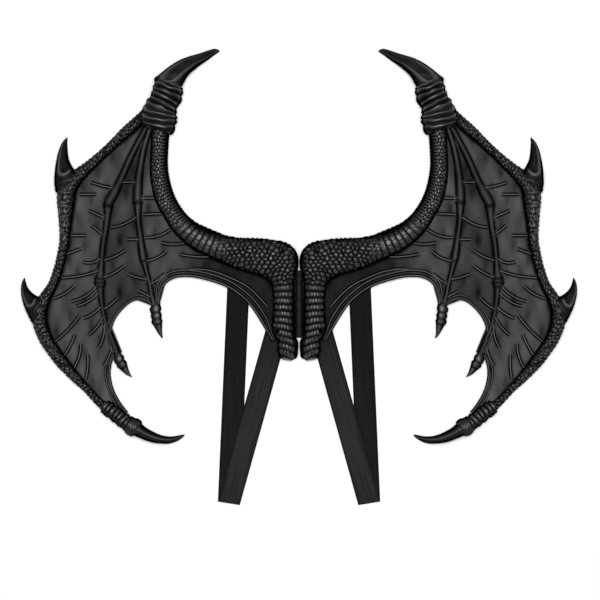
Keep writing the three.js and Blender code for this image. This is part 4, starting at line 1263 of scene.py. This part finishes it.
def strap_ring(flat=13, edge=5):
    """Places across and through the strap: two flats joined by half round edges."""
    side_turn = np.linspace(-np.pi / 2, np.pi / 2, edge + 2)[1:-1]
    round_share = STRAP_THICK / STRAP_WIDE
    reach = 1 - round_share
    over = np.linspace(-reach, reach, flat)
    right = np.column_stack([reach + round_share * np.cos(side_turn), np.sin(side_turn)])
    upper = np.column_stack([over[::-1], np.ones(flat)])
    under = np.column_stack([over, -np.ones(flat)])
    return np.vstack([under, right, upper, -right])


def strap_skin(side):
    """The ring laid out on every row, half the thickness above and below the middle."""
    middle, width, normal, along = strap_rows(side)
    ring = strap_ring()
    grid = (
        middle[:, None]
        + width[:, None] * ring[None, :, :1]
        + normal[:, None] * ring[None, :, 1:] * STRAP_THICK / 2
    )
    grid[..., 2] = np.maximum(grid[..., 2], 0)
    weave = np.dstack(np.broadcast_arrays(along[:, None], ring[None, :, 0] * STRAP_WIDE / 2))
    # painted light: the upper run is lighter, and painted shade darkens the strap under the wing
    # and along both edges
    upper_run = fade(along / along[-1], 0.5, 0.62)
    out_of_wing_shadow = fade(-middle[:, 1], 0.05, 0.16)
    edge_shade = 0.2 + 0.8 * fade(1 - np.abs(ring[:, 0]), 0.02, 0.3)
    shade = (0.34 + 0.66 * upper_run) * (0.6 + 0.4 * out_of_wing_shadow)
    return closed_skin(grid, shade[:, None] * edge_shade), weave, along[-1]


# %% [markdown]
# A soft fabric panel joins the wings: a flat tongue under both bodies and a domed strip that
# shows between them. Both are short rows of ribs across the middle line.

# %% Hinge panel
TONGUE_WIDE, TONGUE_THICK = 0.024, 0.002
HINGE_WIDE, HINGE_TALL = 0.0107, 0.024
TONGUE_TOP, TONGUE_FOOT = 0.031, -0.066
HINGE_TOP, HINGE_FOOT = 0.027, -0.062
# widths of the painted shade on the hinge strip's flanks
HINGE_SHADED_FLANKS = (1.2 * MM, 1.2 * MM)
HINGE_CREASE = 0.35 * MM
PLAIN_SHADE = 0.8
HINGE_STEPS, TONGUE_STEPS = 90, 24


def straight_ribs(top, foot, wide, tall):
    """Ribs square to the middle line of the wings, all of the same width, one for each
    height in tall."""
    count = len(tall)
    y = np.linspace(top, foot, count)
    half = np.full(count, wide / 2)
    return {
        "near": np.column_stack([-half, y]),
        "far": np.column_stack([half, y]),
        "tall": tall,
        "row": np.linspace(0, 1, count),
        "along": top - y,
    }


def hinge_pattern(skin):
    """Soft creases across the strip, where it folds with the wings."""
    crease = drift(skin["along"], 0.2 * skin["x"], 0.019, 3)
    # painted shade: darker in the hollows of the creases and lighter on their tops
    return HINGE_CREASE * crease, 0.6 + 0.2 * crease


def plain_pattern(skin):
    """Flat, and the same shade everywhere."""
    flat = 0 * skin["along"]
    return flat, flat + PLAIN_SHADE


def hinge_skins():
    """The domed strip, lower at both ends, and the tongue."""
    w = np.linspace(0, 1, HINGE_STEPS)
    tall = HINGE_TALL * (0.8 + 0.2 * fade(w, 0, 0.12) * fade(w, 1, 0.86))
    strip_ribs = straight_ribs(HINGE_TOP, HINGE_FOOT, HINGE_WIDE, tall)
    thick = np.full(TONGUE_STEPS, TONGUE_THICK)
    tongue_ribs = straight_ribs(TONGUE_TOP, TONGUE_FOOT, TONGUE_WIDE, thick)
    return [
        raised(strip_ribs, 0, section(22, *LIMB_EDGE, 2), hinge_pattern, HINGE_SHADED_FLANKS),
        raised(tongue_ribs, 0, section(16, *TONGUE_EDGE, 0.1), plain_pattern),
    ]


# %% [markdown]
# Black foam isn't one black. Its colour and shine carry painted light: they run from a black
# of painted shade in the grooves and on the flanks to a highlight colour where a highlight is
# painted, with the attribute of painted light and tone that each skin carries. A fine leather
# grain covers everything, and noise on the object's own coordinates varies the tone and gives a
# bump too fine to model.

# %% Foam finish
# colour where the painted shade is full
SHADE_BLACK = (0.0015, 0.0015, 0.0016)
TONE_NOISE = {"Scale": 22, "Detail": 3}
GRAIN_NOISE = {"Scale": 650, "Detail": 2}
GRAIN_DEEP = 0.4 * MM
ROUGH_SPREAD = 0.08


def new_finish(name):
    """A material, its shader, and two functions: one adds a node and one joins sockets."""
    material = bpy.data.materials.new(name)
    material.use_nodes = True
    tree = material.node_tree

    def add(kind, values=None, **settings):
        node = tree.nodes.new(kind)
        for setting, value in settings.items():
            setattr(node, setting, value)
        for socket, value in (values or {}).items():
            node.inputs[socket].default_value = value
        return node

    return material, tree.nodes["Principled BSDF"], add, tree.links.new


def two_colours(add, dark, light):
    """Ramp from a dark colour at 0 to a light one at 1."""
    ramp = add("ShaderNodeValToRGB")
    for stop, colour in zip(ramp.color_ramp.elements, (dark, light)):
        stop.color = (*colour, 1)
    return ramp


def foam(name, highlight, roughness, grain, shine, blotch=0.25):
    """Colour and shine from the painted light, tone and roughness from slow noise, bump from
    fine noise."""
    material, shader, add, join = new_finish(name)
    painted_light_and_tone = add("ShaderNodeAttribute", attribute_name="painted_light_and_tone").outputs["Fac"]
    on_piece = add("ShaderNodeTexCoord").outputs["Object"]
    ramp = two_colours(add, SHADE_BLACK, highlight)
    join(painted_light_and_tone, ramp.inputs["Fac"])
    # painted shine: the shine is as strong as the painted light, so shaded places have none
    painted_shine = add("ShaderNodeMapRange", {"To Min": 0, "To Max": shine})
    join(painted_light_and_tone, painted_shine.inputs["Value"])
    join(painted_shine.outputs["Result"], shader.inputs["Specular IOR Level"])
    slow = add("ShaderNodeTexNoise", TONE_NOISE)
    join(on_piece, slow.inputs["Vector"])
    tone = add("ShaderNodeMapRange", {"To Min": 1 - blotch, "To Max": 1 + blotch})
    join(slow.outputs["Fac"], tone.inputs["Value"])
    toned = add("ShaderNodeVectorMath", operation="SCALE")
    join(ramp.outputs["Color"], toned.inputs[0])
    join(tone.outputs["Result"], toned.inputs["Scale"])
    join(toned.outputs["Vector"], shader.inputs["Base Color"])
    low, high = roughness - ROUGH_SPREAD, roughness + ROUGH_SPREAD
    rough = add("ShaderNodeMapRange", {"To Min": low, "To Max": high})
    join(slow.outputs["Fac"], rough.inputs["Value"])
    join(rough.outputs["Result"], shader.inputs["Roughness"])
    fine = add("ShaderNodeTexNoise", GRAIN_NOISE)
    join(on_piece, fine.inputs["Vector"])
    bump = add("ShaderNodeBump", {"Strength": grain, "Distance": GRAIN_DEEP})
    join(fine.outputs["Fac"], bump.inputs["Height"])
    join(bump.outputs["Normal"], shader.inputs["Normal"])
    return material


scale_foam = foam("scaly foam", (0.046, 0.046, 0.047), 0.4, 0.35, 0.8)
fold_foam = foam("folded foam", (0.060, 0.060, 0.062), 0.38, 0.3, 0.9)
claw_foam = foam("smooth claw foam", (0.065, 0.065, 0.067), 0.42, 0.12, 0.5)
web_foam = foam("web foam", (0.080, 0.077, 0.084), 0.48, 0.25, 0.45, 0.4)
hinge_cloth = foam("hinge cloth", (0.022, 0.022, 0.023), 0.62, 0.5, 0.3)

# %% [markdown]
# Elastic is woven. Its threads are finer than a render can show from above, so they are a
# bump: one wave along the strap and one across it, read from a UV map in millimetres.

# %% Elastic finish
ELASTIC_DARK, ELASTIC_LIGHT = (0.001, 0.001, 0.001), (0.037, 0.039, 0.039)
STRIPES = (0.012, 0.3, 0)
WEAVE_WAVES = {"X": 0.9, "Y": 0.55}
WEAVE_BUMP = {"Strength": 0.6, "Distance": 0.3 * MM}


def elastic_finish():
    """Bump from two crossed waves on the strap's own UV map, over a matte black that is
    lighter where the painted light is higher and has faint stripes along the strap."""
    material, shader, add, join = new_finish("black elastic")
    shader.inputs["Roughness"].default_value = 0.8
    shader.inputs["Specular IOR Level"].default_value = 0.15
    painted_light_and_tone = add("ShaderNodeAttribute", attribute_name="painted_light_and_tone").outputs["Fac"]
    weave = add("ShaderNodeUVMap", uv_map="weave").outputs["UV"]
    stretch = add("ShaderNodeVectorMath", {1: STRIPES}, operation="MULTIPLY")
    join(weave, stretch.inputs[0])
    stripes = add("ShaderNodeTexNoise", {"Scale": 1})
    join(stretch.outputs["Vector"], stripes.inputs["Vector"])
    tone = add("ShaderNodeMath", operation="MULTIPLY")
    join(painted_light_and_tone, tone.inputs[0])
    join(stripes.outputs["Fac"], tone.inputs[1])
    ramp = two_colours(add, ELASTIC_DARK, ELASTIC_LIGHT)
    join(tone.outputs["Value"], ramp.inputs["Fac"])
    join(ramp.outputs["Color"], shader.inputs["Base Color"])
    both = add("ShaderNodeMath", operation="MULTIPLY")
    for number, (way, size) in enumerate(WEAVE_WAVES.items()):
        wave = add("ShaderNodeTexWave", {"Scale": size}, bands_direction=way)
        join(weave, wave.inputs["Vector"])
        join(wave.outputs["Fac"], both.inputs[number])
    bump = add("ShaderNodeBump", WEAVE_BUMP)
    join(both.outputs["Value"], bump.inputs["Height"])
    join(bump.outputs["Normal"], shader.inputs["Normal"])
    return material


elastic = elastic_finish()

# %% [markdown]
# Now the pieces are made. The arm and the rim need the finest grids, because a scale needs
# about eight points across to look round. The smooth claws need far fewer.

# %% Limbs of both wings
for wing, side in SIDES.items():
    arm = ribs_between(side, ARM_RIBS, ARM_TALL, 700)
    rim = ribs_along(side, RIM_PATH, RIM_WIDE, RIM_TALL, 620)
    cuff = ribs_along(side, CUFF_PATH, CUFF_WIDE, CUFF_TALL, 130)
    collar = ribs_along(side, COLLAR_PATH, COLLAR_WIDE, COLLAR_TALL, 120)
    limbs = [
        # piece, node, finish, ribs, points across, height to width, pattern, shaded flanks
        ("scaly_arm", "arm", scale_foam, arm, 76, 0.62, arm_pattern, ARM_SHADED_FLANKS),
        ("scaly_rim", "leading_rim", scale_foam, rim, 42, 0.8, rim_pattern, RIM_SHADED_FLANKS),
        ("folded_cuff", "wrist_cuff", fold_foam, cuff, 80, 0.62, cuff_pattern, SHADED_FLANKS),
        ("folded_collar", "tip_collar", fold_foam, collar, 48, 0.75, collar_pattern, SHADED_FLANKS),
    ]
    for piece, node, finish, ribs, points, aspect, pattern, flanks in limbs:
        skin = raised(ribs, 0, section(points, *LIMB_EDGE, aspect), pattern, flanks)
        add_piece(f"{wing}_{piece}", [skin], finish, "limb_foam", f"{wing}_{node}")

# %% Claws of both wings
for wing, side in SIDES.items():
    for name, (tall, count, table) in CLAWS.items():
        claw = raised(
            ribs_between(side, table, tall, count), 0,
            section(32, *CLAW_EDGE, 0.7), claw_pattern(name), CLAW_SHADED_FLANKS,
        )
        add_piece(f"{wing}_{name}_skin", [claw], claw_foam, "claw_foam", f"{wing}_{name}")
    for name, table in FINGER_CLAWS.items():
        claw = raised(
            ribs_along(side, table, FINGER_CLAW_WIDE, FINGER_CLAW_TALL, 90), FINGER_CLAW_BACK,
            section(28, *CLAW_EDGE, 0.8), finger_claw_pattern(name),
        )
        add_piece(f"{wing}_{name}_skin", [claw], claw_foam, "claw_foam", f"{wing}_{name}")

# %% Webs, bones, veins and hems of both wings
for wing, side in SIDES.items():
    membrane = add_piece(
        f"{wing}_web", web(side), web_foam, "membrane_foam", f"{wing}_membrane"
    )
    for name, table in BONES.items():
        add_piece(f"{wing}_{name}_bone", [bone(side, table, BONE_RINGS[name])], web_foam,
                  "limb_foam", f"{wing}_{name}")
    add_piece(f"{wing}_veins", vein_skins(side), web_foam, "membrane_foam")
    small_hems = [hem(side, bay, SMALL_BAY_HEM) for bay in (MIDDLE_BAY, TIP_BAY)]
    hems = [hem(side, INNER_BAY), *small_hems, second_bead(side)]
    add_piece(f"{wing}_hems", hems, web_foam, "membrane_foam")

# %% Straps and hinge panel
def add_weave(piece, weave):
    """UV map in millimetres: along the strap and across it, for every corner of a face."""
    flat = np.vstack([weave.reshape(-1, 2), weave[0].mean(0), weave[-1].mean(0)]) / MM
    mesh = piece.data
    corners = np.zeros(len(mesh.loops), int)
    mesh.loops.foreach_get("vertex_index", corners)
    mesh.uv_layers.new(name="weave").data.foreach_set("uv", flat[corners].ravel())


for wing, side in SIDES.items():
    skin, weave, long = strap_skin(side)
    strap = add_piece(f"{wing}_elastic_strap", [skin], elastic, "elastic", f"{wing}_strap")
    add_weave(strap, weave)
    print(wing, "strap is", round(float(long), 3), "metres long")
add_piece("hinge_cover", hinge_skins(), hinge_cloth, "hinge_fabric", "hinge_panel")

# %% [markdown]
# The photograph looks straight down at the wings on a pure white ground. A long lens high
# above gives the same flat view. One large soft lamp makes the broad shine on the crests, and
# painted shade turns the flanks black.

# %% Table top
FLOOR_HALF, FLOOR_DROP = 4.0, 0.2 * MM
floor_mesh = bpy.data.meshes.new("table_top")
corners = [(-1, -1), (1, -1), (1, 1), (-1, 1)]
corners = [(x * FLOOR_HALF, y * FLOOR_HALF, -FLOOR_DROP) for x, y in corners]
floor_mesh.from_pydata(corners, [], [(0, 1, 2, 3)])
floor = bpy.data.objects.new("table_top", floor_mesh)
bpy.context.scene.collection.objects.link(floor)
paper, paper_shader, _, _ = new_finish("white paper")
paper_shader.inputs["Base Color"].default_value = (0.95, 0.95, 0.95, 1)
paper_shader.inputs["Roughness"].default_value = 0.9
floor_mesh.materials.append(paper)

# %% Lamps and surroundings
def lamp(name, at, size, power):
    """Square area lamp that looks at the middle of the wings."""
    light = bpy.data.lights.new(name, "AREA")
    light.size = size
    light.energy = power
    holder = bpy.data.objects.new(name, light)
    holder.location = at
    towards = -np.array(at)
    pitch = math.atan2(math.hypot(towards[0], towards[1]), -towards[2])
    holder.rotation_euler = (pitch, 0, math.atan2(-towards[0], towards[1]))
    bpy.context.scene.collection.objects.link(holder)


lamp("soft_box", at=(0.0, 0.3, 3.4), size=1.9, power=125)
world = bpy.data.worlds.new("studio")
world.use_nodes = True
sky = world.node_tree.nodes["Background"]
sky.inputs["Color"].default_value = (1, 1, 1, 1)
sky.inputs["Strength"].default_value = 0.15
bpy.context.scene.world = world
bpy.context.scene.view_settings.view_transform = "Standard"

# %% Camera
VIEW_WIDE = 0.8634
CAMERA_HIGH = 3.2
AIM = (0.0014, -0.0115)
camera = bpy.data.cameras.new("overhead")
camera.sensor_width = 36
camera.lens = camera.sensor_width * CAMERA_HIGH / VIEW_WIDE
holder = bpy.data.objects.new("overhead", camera)
holder.location = (AIM[0], AIM[1], CAMERA_HIGH)
bpy.context.scene.collection.objects.link(holder)
bpy.context.scene.camera = holder

# %% [markdown]
# Last, the number of triangles of the finished model is printed.

# %% Sizes and the end
print("all pieces together have about", sum(triangle_count.values()), "triangles")
